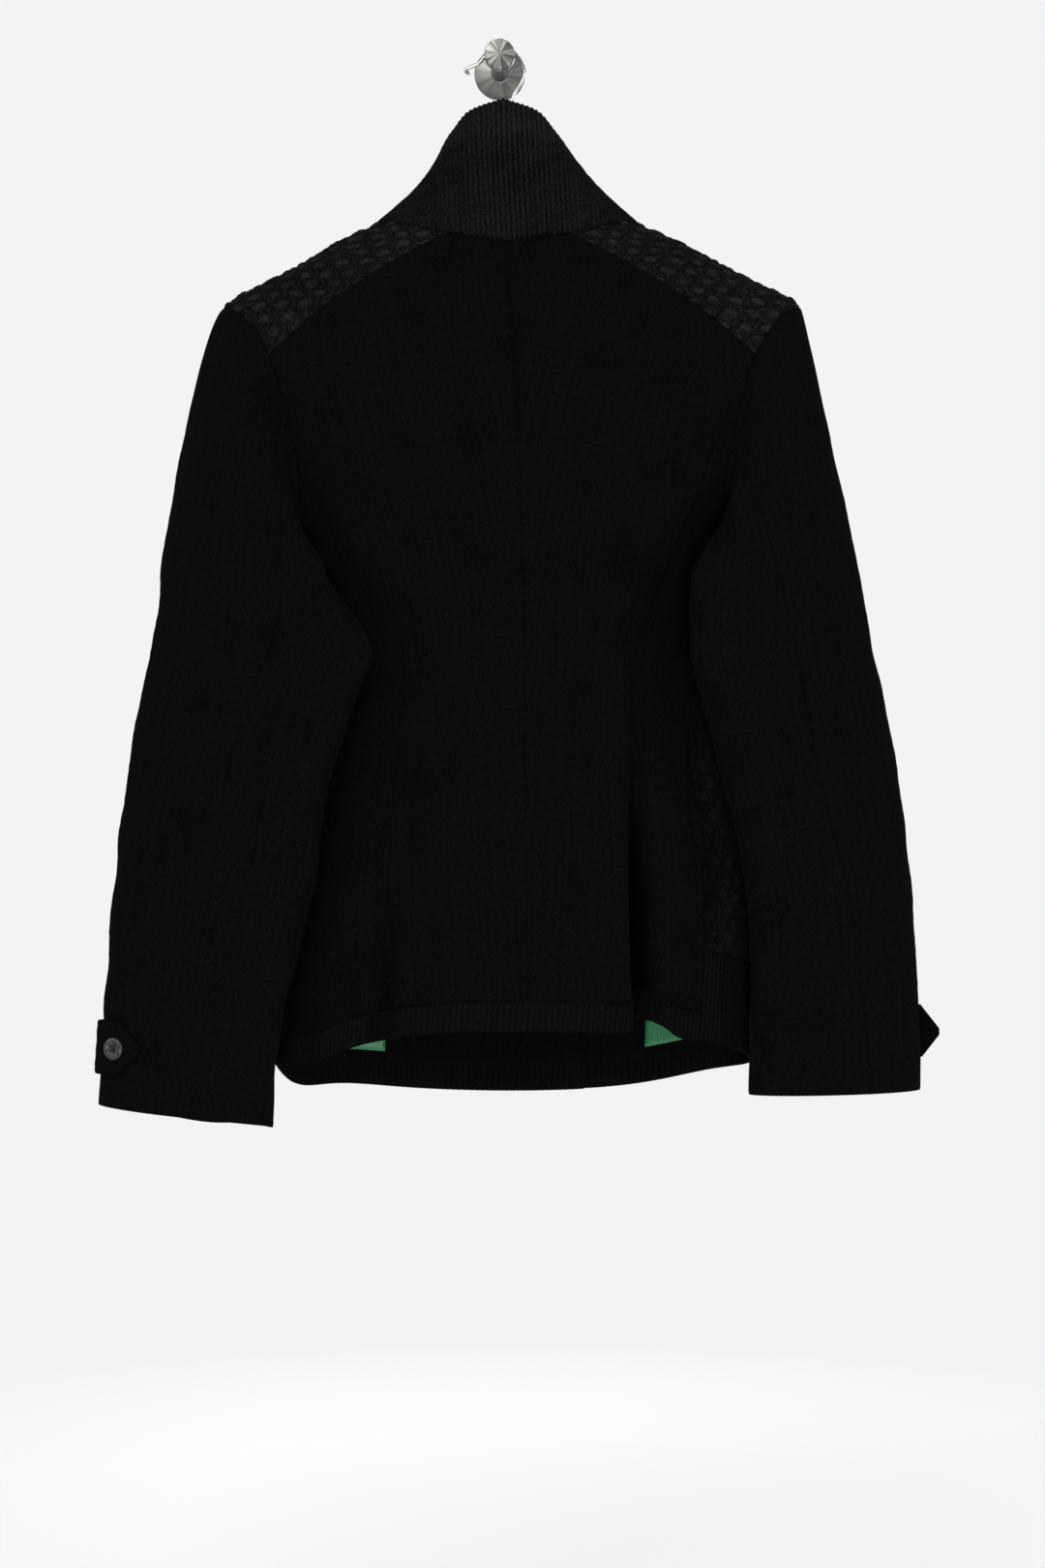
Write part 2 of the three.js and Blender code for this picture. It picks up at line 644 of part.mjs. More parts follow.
// A point of a sleeve. Run goes from 0 at the armhole to 1 at the end of the cap and 2 at the cuff.
function sleevePoint(side, angle, run) {
  const way = side === "left" ? -1 : 1;
  if (run >= 1) {
    const cuff = CUFF[side];
    const corner = cuff.corner * bell(((angle + 360) % 360) - CUFF.cornerAngle, CUFF.cornerWidth);
    const foot = cuff.level + cuff.slope * Math.cos(rad(angle)) + corner;
    return sleeveSection(side, angle, mix(SLEEVE_HEAD, foot, run - 1));
  }
  const start = bodyPoint(...armhole(side, angle));
  const end = sleeveSection(side, angle, SLEEVE_HEAD);
  const gap = start.distanceTo(end);
  const below = (1 - Math.cos(rad(angle))) / 2;
  const lead = new THREE.Vector3(way * mix(0.9, 0.98, below), 0, mix(-0.45, -0.2, below));
  const s = run;
  const point = start.multiplyScalar(1 - s * s * (3 - 2 * s));
  point.addScaledVector(end, s * s * (3 - 2 * s));
  const drive = mix(CAP_LEAD[side], CAP_LEAD.foot, below ** 2) * gap;
  point.addScaledVector(lead, s * (1 - s) ** 2 * drive);
  point.z += s * s * (1 - s) * gap * mix(CAP_LEAD[side], CAP_LEAD.foot, below);
  point.addScaledVector(lead, mix(CAP_STAND.top, CAP_STAND.foot, below) * (1 - s));
  return point;
}

// Sleeves in two pieces, joined down the back and the front of the arm
const SLEEVE_ROWS = 9;
for (const side of ["left", "right"]) {
  const out = (angle, run) => {
    if (run === 0) return bodyOut(...armhole(side, angle));
    const point = (a, r) => sleevePoint(side, a, Math.max(0, r));
    const normal = wayOut(point, angle, run, 0.5, 0.004);
    return side === "left" ? normal.negate() : normal;
  };
  const seamAngle = (run) => {
    const z = mix(SLEEVE_HEAD, CUFF[side].level, Math.max(0, run - 1));
    return mix(SLEEVE_SEAMS.back, ringAngle(sleeveOf[side].seam(z)), soft(run));
  };
  const runs = [
    ...steps(CAP_STEPS, (s) => s),
    ...steps(SLEEVE_ROWS, (s) => 1 + s).slice(1),
  ];
  const piece = (from, to, count) =>
    runs.map((run) =>
      steps(count, (s) => {
        const angle = mix(from(run), to(run), s);
        return { point: sleevePoint(side, angle, run), out: out(angle, run) };
      }),
    );
  const frontSeam = (run) =>
    mix(SLEEVE_SEAMS.front, ringAngle(FRONT_SLEEVE_SEAM), soft(run));
  const upper = piece((run) => frontSeam(run) - 360, seamAngle, 18);
  const under = piece(seamAngle, frontSeam, 12);
  add(`sleeve_upper_${side}`, clothWall(upper, {}), knit);
  add(`sleeve_under_${side}`, clothWall(under, {}), knit);
}

// A strip round the lower edge between two turns, each given by level, from one height above the hem
// to another
function strip(fromAt, toAt, count, low, high, rows) {
  return steps(rows, (v) =>
    steps(count, (u) => {
      const level = (turn) => hemHeight(turn) + mix(low, high, v);
      const from = fromAt(level(fromAt(HEM_MIDDLE)));
      const to = toAt(level(toAt(HEM_MIDDLE)));
      const turn = mix(from, to, u);
      return { point: bodyPoint(turn, level(turn)), out: bodyOut(turn, level(turn)) };
    }),
  );
}
const ribRelief = (i) => (i % 2 === 0 ? 0 : RIB_HEIGHT);
const ribbed = { relief: ribRelief, step: 4 };

// Back hem band, from side seam to side seam, in fine ribs
const backBand = strip(
  sideTurn.left, sideTurn.right, 2 * BACK_BAND_RIBS, 0, BACK_BAND - RIB_DROP, 1,
);
add("hem_band_back", clothWall(backBand, ribbed), ribKnit);

// Deep ribs below the front panels
for (const side of ["left", "right"]) {
  const lap = () => lapTurn(side, HEM_MIDDLE);
  const span = Math.abs(lap() - sideTurn[side](HEM_MIDDLE));
  const count = 4 * Math.round(span * FRONT_RIBS_A_TURN / 2);
  const places = strip(sideTurn[side], lap, count, 0, FRONT_RIB - RIB_DROP, 1);
  add(`front_rib_${side}`, clothWall(places, ribbed), ribKnit);
}

// Facings inside the front edges and green lining beyond them, where the hem lets them show
for (const side of ["left", "right"]) {
  const way = side === "left" ? -1 : 1;
  const edge = side === "left" ? lapTurn(side, HEM_MIDDLE) + 1 : 180 - FACING_EDGE_TURN;
  const run = (from, to, count, foot) =>
    strip(() => from, () => to, count, foot, FACING_TOP, 2);
  const slip = { thick: LINING_CLOTH, lift: -CLOTH - 2 * SEAM_GAP };
  const facing = run(way * FACING_TURN, edge, 8, FACING_FOOT);
  const lining = run(way * LINING_TURN, way * FACING_TURN, 8, LINING_FOOT[side]);
  add(`facing_${side}`, clothWall(facing, slip), knit);
  add(`lining_${side}`, clothWall(lining, slip), { color: 0x208750, roughness: 0.5 });
}

// The collar is a ribbed strip. Its left end passes inside its right end at the front.
function collarPoint(turn, rise) {
  const round = Math.abs(turn) > 180 ? 360 - Math.abs(turn) : Math.abs(turn);
  const foot = bodyPoint(turn, neckHeight(round));
  foot.z += mix(SEAM_GAP, 6 * SEAM_GAP, (1 - Math.cos(rad(turn))) / 2);
  const a = rad(turn);
  const lapped = lapIn(turn);
  const top = new THREE.Vector3(
    COLLAR_TOP.middle + (COLLAR_TOP.half + lapped) * Math.sin(a),
    COLLAR_TOP.axis - (COLLAR_TOP.depth + lapped) * Math.cos(a),
    rimHeight(round),
  );
  const flare = mix(COLLAR_FLARE.left, COLLAR_FLARE.right, (1 + Math.sin(a)) / 2);
  const point = foot.clone().lerp(top, rise + flare * Math.sin(Math.PI * rise));
  point.z = mix(foot.z, top.z, rise);
  return point;
}
const collarPlaces = steps(COLLAR_ROWS, (v) =>
  steps(COLLAR_RIBS * 2, (u) => {
    const turn = mix(-180 - COLLAR_LAP_TURN, 180 + COLLAR_LAP_TURN, u);
    return { point: collarPoint(turn, v), out: wayOut(collarPoint, turn, v, 0.3, 0.004) };
  }),
);
add("collar", clothWall(collarPlaces, ribbed), ribKnit);

// Cuff tabs: pointed straps round the sleeve. The left one wraps to the back. The right one starts at
// the front, and its tip stands off the sleeve's outer edge.
function tabPoint(side, along, across) {
  const tab = TABS[side];
  const z = tab.level + (across - 0.5) * 2 * TAB_HALF_HEIGHT * tabWidth(along);
  const onSleeve = Math.min(along, tab.leaves) / tab.leaves;
  const angle = ringAngle(mix(tab.from, tab.to, onSleeve));
  const point = sleeveSection(side, angle, z);
  const out = sleeveOut(side, angle, z);
  const stand = tab.stand * bell(mix(tab.from, tab.to, onSleeve), TAB_STAND_WIDTH);
  point.addScaledVector(out, CLOTH_CLEAR + stand);
  const free = Math.max(0, along - tab.leaves) / (1 - tab.leaves || 1);
  return point.add(new THREE.Vector3(tab.tipX * free, tab.tipY * free, 0));
}
function tabWidth(along) {
  const toTip = Math.max(0, along - TAB_POINT) / (1 - TAB_POINT);
  return mix(1, TAB_TIP_WIDTH, toTip);
}
function sleeveOut(side, ring, z) {
  const normal = wayOut((a, level) => sleeveSection(side, a, level), ring, z, 0.5, 0.5);
  return side === "left" ? normal : normal.negate();
}
for (const side of ["left", "right"]) {
  const out = (along, across) => {
    const normal = wayOut((a, b) => tabPoint(side, a, b), along, across, 0.01, 0.01);
    return normal.multiplyScalar(TABS[side].facing);
  };
  const places = steps(4, (v) =>
    steps(10, (u) => ({ point: tabPoint(side, u, v), out: out(u, v) })),
  );
  add(`cuff_tab_${side}`, clothWall(places, { lift: CLOTH, thick: CLOTH }), knit);
  const seat = tabPoint(side, TABS[side].button, 0.5);
  const normal = out(TABS[side].button, 0.5);
  seat.addScaledVector(normal, CLOTH + SEAM_GAP);
  addButton(`cuff_button_${side}`, seat, normal, CUFF_BUTTON);
}

// A flat button with four holes, standing on a seat
function addButton(name, seat, normal, { radius, thick }) {
  const circlePoints = (x, y, r, sides) =>
    steps(sides - 1, (s) => {
      const a = (2 * Math.PI * s * (sides - 1)) / sides;
      return new THREE.Vector2(x + r * Math.cos(a), y + r * Math.sin(a));
    });
  const disc = new THREE.Shape(circlePoints(0, 0, radius, 18));
  for (let i = 0; i < 4; i += 1) {
    const hole = new THREE.Path();
    const a = rad(45 + 90 * i);
    const x = BUTTON_HOLE.away * Math.cos(a);
    const y = BUTTON_HOLE.away * Math.sin(a);
    hole.setFromPoints(circlePoints(x, y, BUTTON_HOLE.radius, 5));
    disc.holes.push(hole);
  }
  const geometry = new THREE.ExtrudeGeometry(disc, { depth: thick, bevelEnabled: false });
  const turned = new THREE.Quaternion().setFromUnitVectors(new THREE.Vector3(0, 0, 1), normal);
  geometry.applyQuaternion(turned).translate(seat.x, seat.y, seat.z);
  add(name, geometry, { color: 0x45464a, roughness: 0.35 });
}

// Buttons down the right front, which laps over the left
FRONT_BUTTON_LEVELS.forEach((z, i) => {
  const normal = bodyOut(180, z);
  const seat = bodyPoint(180, z).addScaledVector(normal, SEAM_GAP);
  addButton(`front_button_${i + 1}`, seat, normal, FRONT_BUTTON);
});

// Wall hook: a rose on the wall, a stem and a cap, turned about the stem
const hookProfile = [
  [0, 0],
  [ROSE.radius, 0],
  [ROSE.radius, 1 - ROSE.thick],
  [ROSE.radius - 1, -ROSE.thick],
  [STEM_RADIUS, -ROSE.thick],
  [STEM_RADIUS, CAP.face + CAP.thick],
  [CAP.radius, CAP.face + CAP.thick],
  [CAP.radius, CAP.face + 1],
  [CAP.radius - 1, CAP.face],
  [0, CAP.face],
].map(([radius, y]) => new THREE.Vector2(radius, y));
const turnedHook = new THREE.LatheGeometry(hookProfile, 28);
const hookGeometry = closedGeometry(
  [...turnedHook.getAttribute("position").array],
  [...turnedHook.index.array],
);
const steel = { color: 0xb9b7b2, roughness: 0.3, metalness: 1 };
add("wall_hook", hookGeometry, steel);

// The hanger's wire hook, from its curled tip over the stem and down to the hanger's crown
const wirePath = new THREE.CatmullRomCurve3(
  WIRE_ROUTE.map((place) => new THREE.Vector3(place.x, place.y, place.z)),
);
const wireSection = new THREE.Shape().absarc(0, 0, WIRE.radius, 0, 2 * Math.PI);
const wire = new THREE.ExtrudeGeometry(wireSection, {
  steps: 32,
  curveSegments: 4,
  extrudePath: wirePath,
});
add("hanger_hook", wire, steel);

// The height of the shoulder's ridge over a place on the hanger
function ridgeHeight(x) {
  const way = Math.sign(x);
  let high = BODY[0].z;
  let low = BODY[6].z;
  for (let i = 0; i < 30; i += 1) {
    const z = (high + low) / 2;
    if (way * (x - body.middle(z)) > body.half(z)) high = z;
    else low = z;
  }
  return low;
}

// Hanger arms: one plain bar that follows the shoulders and rises to a crown at the neck
function hangerTop(x) {
  const away = Math.abs(x - HANGER.middle);
  const under = (at) => ridgeHeight(at) - HANGER.slack;
  if (away > HANGER.neck) return under(x);
  const edge = under(HANGER.middle + Math.sign(x - HANGER.middle || 1) * HANGER.neck);
  return mix(HANGER.crown, edge, (away / HANGER.neck) ** 1.4);
}
const bar = [
  [-HANGER.halfThick, -HANGER.height],
  [-HANGER.halfThick, -3],
  [-3, 0],
  [3, 0],
  [HANGER.halfThick, -3],
  [HANGER.halfThick, -HANGER.height],
];
const hangerRings = steps(24, (s) => {
  const x = HANGER.middle + mix(-HANGER.reach, HANGER.reach, s);
  return bar.map(([y, drop]) => new THREE.Vector3(x, HANGER.axis + y, hangerTop(x) + drop));
});
add("hanger", barGeometry(hangerRings), { color: 0x3a2b20, roughness: 0.6 });

// A solid bar through rings of equal counts, closed by a fan at each end
function barGeometry(rings) {
  const count = rings[0].length;
  const positions = rings.flat().flatMap((p) => [p.x, p.y, p.z]);
  const index = [];
  for (let j = 0; j < rings.length - 1; j += 1) {
    for (let i = 0; i < count; i += 1) {
      const [a, b] = [j * count + i, j * count + ((i + 1) % count)];
      index.push(a, b, b + count, a, b + count, a + count);
    }
  }
  const end = (rings.length - 1) * count;
  for (let i = 1; i < count - 1; i += 1) {
    index.push(0, i + 1, i, end, end + i, end + i + 1);
  }
  return closedGeometry(positions, index);
}

export default jacket;
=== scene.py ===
import bmesh
import bpy
import numpy as np
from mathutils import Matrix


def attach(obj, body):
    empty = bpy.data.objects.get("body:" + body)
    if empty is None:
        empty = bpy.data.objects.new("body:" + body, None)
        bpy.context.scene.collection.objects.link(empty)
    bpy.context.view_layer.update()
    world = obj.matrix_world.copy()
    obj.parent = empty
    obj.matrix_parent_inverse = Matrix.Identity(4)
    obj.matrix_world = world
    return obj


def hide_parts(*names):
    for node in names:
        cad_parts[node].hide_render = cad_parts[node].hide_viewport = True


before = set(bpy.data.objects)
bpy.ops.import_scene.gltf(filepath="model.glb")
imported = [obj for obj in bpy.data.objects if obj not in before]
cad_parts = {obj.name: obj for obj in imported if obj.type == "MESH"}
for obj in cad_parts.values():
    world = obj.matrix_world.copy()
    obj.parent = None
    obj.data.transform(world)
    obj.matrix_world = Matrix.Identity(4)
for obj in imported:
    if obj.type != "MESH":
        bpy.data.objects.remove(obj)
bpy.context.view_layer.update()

# The studio is a matt pale floor in a pale surround, with soft lamps high and low before the jacket, at
# each side and behind. The camera stands level, 2 m before the wall hook's rose.
FLOOR_LEVEL = -1.35
FLOOR_RADIUS = 1.5
FLOOR_FADE_START = 1.0
SURROUND = "#F2F3F4"
FILL_LIGHT = 0.4
CAMERA_PLACE = (0.0178, -2.0, -0.5662)
CAMERA_LENS = 57.5
LAMP_AIM = (0, -0.05, -0.45)
# name, place in metres, width in metres, power in watts
LAMPS = [
    ("lamp_front", (-0.8, -2.2, 1.3), 1.4, 27),
    ("lamp_low", (0.5, -2.3, -1.25), 1.0, 20),
    ("lamp_left", (-2.3, -0.7, 0.1), 1.2, 14),
    ("lamp_right", (2.3, -0.9, 0.1), 1.2, 16),
    ("lamp_behind", (0.3, 2.6, 0.9), 1.6, 60),
]


def linear(colour):
    """sRGB hex to linear: c / 12.92 up to 0.04045, and ((c + 0.055) / 1.055) to the 2.4 above."""
    parts = np.array([int(colour[i : i + 2], 16) for i in (1, 3, 5)]) / 255
    return (*np.where(parts <= 0.04045, parts / 12.92, ((parts + 0.055) / 1.055) ** 2.4), 1.0)


def add_node(tree, kind, inputs=None, **settings):
    """Adds a node with its settings. An input is a value, or a socket to link from."""
    made = tree.nodes.new(kind)
    for name, value in settings.items():
        setattr(made, name, value)
    for name, value in (inputs or {}).items():
        if isinstance(value, bpy.types.NodeSocket):
            tree.links.new(value, made.inputs[name])
        else:
            made.inputs[name].default_value = value
    return made


def new_material(name, **values):
    """A material of that name with one Principled shader, whose sockets take the values."""
    material = bpy.data.materials.new(name)
    material.use_nodes = True
    shader = material.node_tree.nodes["Principled BSDF"]
    for socket, value in values.items():
        shader.inputs[socket.replace("_", " ")].default_value = value
    return material, material.node_tree, shader


def mesh_piece(name, points, faces, material, uv=None, relief=None):
    """A smooth mesh from points in millimetres and lists of corners, with a UV map in metres and the
    relief of each point in millimetres."""
    mesh = bpy.data.meshes.new(name)
    mesh.from_pydata((points * 0.001).tolist(), [], faces)
    mesh.polygons.foreach_set("use_smooth", np.ones(len(mesh.polygons), bool))
    if uv is not None:
        corners = np.zeros(len(mesh.loops), int)
        mesh.loops.foreach_get("vertex_index", corners)
        layer = mesh.uv_layers.new(name="cloth")
        layer.data.foreach_set("uv", (uv[corners] * 0.001).ravel())
    if relief is not None:
        mesh.attributes.new("relief", "FLOAT", "POINT").data.foreach_set("value", relief)
    mesh.materials.append(material)
    mesh.update()
    piece = bpy.data.objects.new(name, mesh)
    bpy.context.scene.collection.objects.link(piece)
    return piece


camera = bpy.data.objects.new("camera", bpy.data.cameras.new("camera"))
camera.data.lens = CAMERA_LENS
camera.data.sensor_width = 36
camera.location = CAMERA_PLACE
camera.rotation_euler = (np.pi / 2, 0, 0)
bpy.context.scene.collection.objects.link(camera)
bpy.context.scene.camera = camera
bpy.context.scene.view_settings.view_transform = "Standard"

world = bpy.data.worlds.new("studio")
world.use_nodes = True
tree = world.node_tree
seen = tree.nodes["Background"]
seen.inputs["Color"].default_value = linear(SURROUND)
fill = add_node(tree, "ShaderNodeBackground", {"Color": linear(SURROUND), "Strength": FILL_LIGHT})
straight = add_node(tree, "ShaderNodeLightPath").outputs["Is Camera Ray"]
both = add_node(tree, "ShaderNodeMixShader", {0: straight, 1: fill.outputs[0], 2: seen.outputs[0]})
tree.links.new(both.outputs[0], tree.nodes["World Output"].inputs["Surface"])
bpy.context.scene.world = world
for name, place, size, power in LAMPS:
    lamp = bpy.data.objects.new(name, bpy.data.lights.new(name, "AREA"))
    lamp.data.size = size
    lamp.data.energy = power
    lamp.location = place
    away = np.array(place) - np.array(LAMP_AIM)
    lamp.rotation_euler = (
        np.arctan2(np.hypot(away[0], away[1]), away[2]),
        0,
        np.arctan2(away[0], -away[1]),
    )
    bpy.context.scene.collection.objects.link(lamp)
floor_paint, tree, shader = new_material("floor_paint", Base_Color=linear("#F8F8F7"), Roughness=0.9)
place = add_node(tree, "ShaderNodeTexCoord").outputs["Object"]
from_middle = add_node(
    tree, "ShaderNodeVectorMath", {0: place, 1: (0, 0, -FLOOR_LEVEL)}, operation="ADD"
).outputs[0]
span = add_node(tree, "ShaderNodeVectorMath", {0: from_middle}, operation="LENGTH").outputs["Value"]
rim = add_node(
    tree,
    "ShaderNodeMapRange",
    {
        "Value": span,
        "From Min": FLOOR_FADE_START,
        "From Max": FLOOR_RADIUS,
        "To Min": 1.0,
        "To Max": 0.0,
    },
)
tree.links.new(rim.outputs[0], shader.inputs["Alpha"])
around = np.linspace(0, 2 * np.pi, 96, endpoint=False)
floor_edge = 1000 * np.stack(
    [FLOOR_RADIUS * np.cos(around), FLOOR_RADIUS * np.sin(around), FLOOR_LEVEL + 0 * around], -1
)
floor = mesh_piece("floor", floor_edge, [list(range(96))], floor_paint)

# The wall hook is brushed stainless steel, turned on a lathe: a rose with a flat back, a stem and a
# cap. The turning leaves fine rings, and its colour carries painted highlight and shade as bright and
# dark rays, strongest on the cap.
# radius, place along the stem from the rose's flat back
HOOK_PROFILE = [
    (0, 0), (20.5, 0), (20.5, -3.6), (20.2, -4.5), (19.4, -5), (8.2, -5), (6.8, -5.6), (6.5, -7),
    (6.5, -49), (6.8, -50), (11.2, -50), (11.8, -50.6), (11.8, -58.8), (11.3, -59.7), (10.4, -60),
    (0, -60),
]
HOOK_SIDES = 96
STEEL_RING_MM = 0.35
STEEL_PAINTED_RAYS = 3.5

steel, tree, shader = new_material(
    "brushed_stainless_steel", Metallic=0.65, Roughness=0.36, Anisotropic=0.6
)
place = add_node(tree, "ShaderNodeTexCoord").outputs["Object"]
apart = add_node(tree, "ShaderNodeSeparateXYZ", {"Vector": place})
x_squared = add_node(
    tree, "ShaderNodeMath", {0: apart.outputs["X"], 1: apart.outputs["X"]}, operation="MULTIPLY"
)
radius_squared = add_node(
    tree,
    "ShaderNodeMath",
    {0: apart.outputs["Z"], 1: apart.outputs["Z"], 2: x_squared.outputs[0]},
    operation="MULTIPLY_ADD",
)
radius = add_node(tree, "ShaderNodeMath", {0: radius_squared.outputs[0]}, operation="SQRT")
ring_place = add_node(tree, "ShaderNodeCombineXYZ", {"X": radius.outputs[0], "Y": apart.outputs["Y"]})
rings = add_node(
    tree,
    "ShaderNodeTexNoise",
    {"Vector": ring_place.outputs[0], "Scale": 1000 / STEEL_RING_MM, "Detail": 3.0},
)
ring_bump = add_node(
    tree, "ShaderNodeBump", {"Height": rings.outputs["Fac"], "Strength": 0.08, "Distance": 0.00004}
)
tree.links.new(ring_bump.outputs[0], shader.inputs["Normal"])
# Painted highlight and shade: bright and dark rays in the colour, strong on the cap, faint on the rose.
ray_x = add_node(
    tree, "ShaderNodeMath", {0: apart.outputs["X"], 1: radius.outputs[0]}, operation="DIVIDE"
)
ray_z = add_node(
    tree, "ShaderNodeMath", {0: apart.outputs["Z"], 1: radius.outputs[0]}, operation="DIVIDE"
)
ray_place = add_node(tree, "ShaderNodeCombineXYZ", {"X": ray_x.outputs[0], "Y": ray_z.outputs[0]})
rays = add_node(
    tree, "ShaderNodeTexNoise", {"Vector": ray_place.outputs[0], "Scale": STEEL_PAINTED_RAYS, "Detail": 0.0}
)
painted_ray_strength = add_node(
    tree,
    "ShaderNodeMapRange",
    {"Value": apart.outputs["Y"], "From Min": -0.055, "From Max": -0.045, "To Min": 1.0, "To Max": 0.3},
)
ray_part = add_node(
    tree, "ShaderNodeMath", {0: rays.outputs["Fac"], 1: -0.5}, operation="ADD"
)
ray_share = add_node(
    tree,
    "ShaderNodeMath",
    {0: ray_part.outputs[0], 1: painted_ray_strength.outputs[0], 2: 0.45},
    operation="MULTIPLY_ADD",
)
painted_ray_highlights = add_node(tree, "ShaderNodeValToRGB", {"Fac": ray_share.outputs[0]})
painted_ray_highlights.color_ramp.elements[0].color = linear("#62615E")
painted_ray_highlights.color_ramp.elements[0].position = 0.35
painted_ray_highlights.color_ramp.elements[1].color = linear("#B2B1AD")
painted_ray_highlights.color_ramp.elements[1].position = 0.65
tree.links.new(painted_ray_highlights.outputs["Color"], shader.inputs["Base Color"])
lie = add_node(tree, "ShaderNodeTangent", direction_type="RADIAL", axis="Y")
tree.links.new(lie.outputs[0], shader.inputs["Tangent"])


def turned(profile, sides):
    """Points (r cos a, y, r sin a) for each (r, y) of the profile and each of the angles a."""
    r, y = np.array(profile, float).T
    a = np.linspace(0, 2 * np.pi, sides, endpoint=False)
    return np.stack(
        [r[:, None] * np.cos(a), np.repeat(y[:, None], sides, 1), r[:, None] * np.sin(a)], -1
    )


def ring_faces(rows, sides):
    """Quads between rings of equal counts, and one face over each end ring."""
    j, i = np.meshgrid(np.arange(rows - 1), np.arange(sides), indexing="ij")
    k = (i + 1) % sides
    quads = np.stack([j * sides + i, j * sides + k, (j + 1) * sides + k, (j + 1) * sides + i], -1)
    ends = [list(range(sides))[::-1], list(range((rows - 1) * sides, rows * sides))]
    return quads.reshape(-1, 4).tolist() + ends


def face_out(piece):
    """Merges the doubles of a closed piece and turns its faces outward."""
    work = bmesh.new()
    work.from_mesh(piece.data)
    bmesh.ops.remove_doubles(work, verts=work.verts, dist=1e-6)
    bmesh.ops.recalc_face_normals(work, faces=work.faces)
    work.to_mesh(piece.data)
    work.free()
    return piece


hook_rings = turned([(max(r, 0.02), y) for r, y in HOOK_PROFILE], HOOK_SIDES)
hook_quads = ring_faces(len(HOOK_PROFILE), HOOK_SIDES)
hook = face_out(mesh_piece("hook_turned", hook_rings.reshape(-1, 3), hook_quads, steel))
sharp = hook.modifiers.new("edges", "EDGE_SPLIT")
sharp.split_angle = np.radians(35)
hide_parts("wall_hook")
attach(hook, "root")


# The hanger's hook is 2.8 mm plated steel wire. It is bent over the wall hook's stem, ends in a small
# curl on the left, and runs down through the collar into the crown of the hanger's bar. The plating is
# smooth, so the wire shows one thin bright line.
WIRE_RADIUS = 1.4
WIRE_STEPS = 240
WIRE_SIDES = 16
WIRE_ROUTE = [
    (-23.5, -45, -12.5), (-26.5, -45, -9), (-22, -45, -6.3), (-16, -45, -3.5), (-9.5, -45, 3.6),
    (0, -45, 8.4), (9.5, -45, 5.8), (16, -45, -1), (19.3, -45, -10), (17, -45.5, -18.5),
    (11, -46.5, -29), (7, -48.5, -42), (5, -52, -62), (5, -56, -88), (5, -57, -111.6),
]


def smooth_curve(along, heights):
    """Cubic through the points: each slope is that of the chord between its two neighbours, or at an
    end of the last chord. Beyond the ends the curve keeps the end's value."""
    xs, ys = np.array(along, float), np.array(heights, float)
    low = np.maximum(np.arange(len(xs)) - 1, 0)
    high = np.minimum(np.arange(len(xs)) + 1, len(xs) - 1)
    slopes = ((ys[high] - ys[low]).T / (xs[high] - xs[low])).T

    def at(x):
        x = np.clip(x, xs[0], xs[-1])
        i = np.clip(np.searchsorted(xs, x, side="right") - 1, 0, len(xs) - 2)
        gap = xs[i + 1] - xs[i]
        s = (x - xs[i]) / gap
        if ys.ndim > 1:
            s, gap = s[..., None], gap[..., None]
        bend = s * s * (3 - 2 * s)
        lead = s * (1 - s) * gap
        return ys[i] + (ys[i + 1] - ys[i]) * bend + lead * ((1 - s) * slopes[i] - s * slopes[i + 1])

    return at


def tube(route, radius, steps, sides):
    """Rings of that radius across a smooth path through the route, drawn in to a round at each end."""
    places = np.array(route, float)
    apart = np.sqrt(np.linalg.norm(np.diff(places, axis=0), axis=1))
    along = np.concatenate([[0], np.cumsum(apart)])
    path = smooth_curve(along, places)
    t = np.linspace(0, along[-1], steps)
    middle = path(t)
    ahead = np.gradient(middle, axis=0)
    ahead /= np.linalg.norm(ahead, axis=1, keepdims=True)
    side = np.cross(ahead, (0.0, 1.0, 0.0))
    side /= np.linalg.norm(side, axis=1, keepdims=True)
    up = np.cross(side, ahead)
    distance = np.concatenate([[0], np.cumsum(np.linalg.norm(np.diff(middle, axis=0), axis=1))])
    to_end = np.minimum(distance, distance[-1] - distance) / radius
    wide = radius * np.sqrt(np.clip(1 - (1 - np.clip(to_end, 0, 1)) ** 2, 0.002, 1))
    a = np.linspace(0, 2 * np.pi, sides, endpoint=False)
    ring = side[:, None] * np.cos(a)[:, None] + up[:, None] * np.sin(a)[:, None]
    return middle[:, None] + ring * wide[:, None, None]


wire_rings = tube(WIRE_ROUTE, WIRE_RADIUS, WIRE_STEPS, WIRE_SIDES)
wire_quads = ring_faces(WIRE_STEPS, WIRE_SIDES)
plated_wire, _, _ = new_material(
    "plated_steel_wire", Base_Color=linear("#C2C2C0"), Metallic=1.0, Roughness=0.18
)
wire = face_out(mesh_piece("hanger_wire", wire_rings.reshape(-1, 3), wire_quads, plated_wire))
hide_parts("hanger_hook")
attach(wire, "root")

# The hanger's bar is turned and stained beech, which follows the shoulders inside the jacket. Its grain
# runs along the bar, with darker pores a few millimetres long.
GRAIN_MM = (28, 1.6, 1.6)

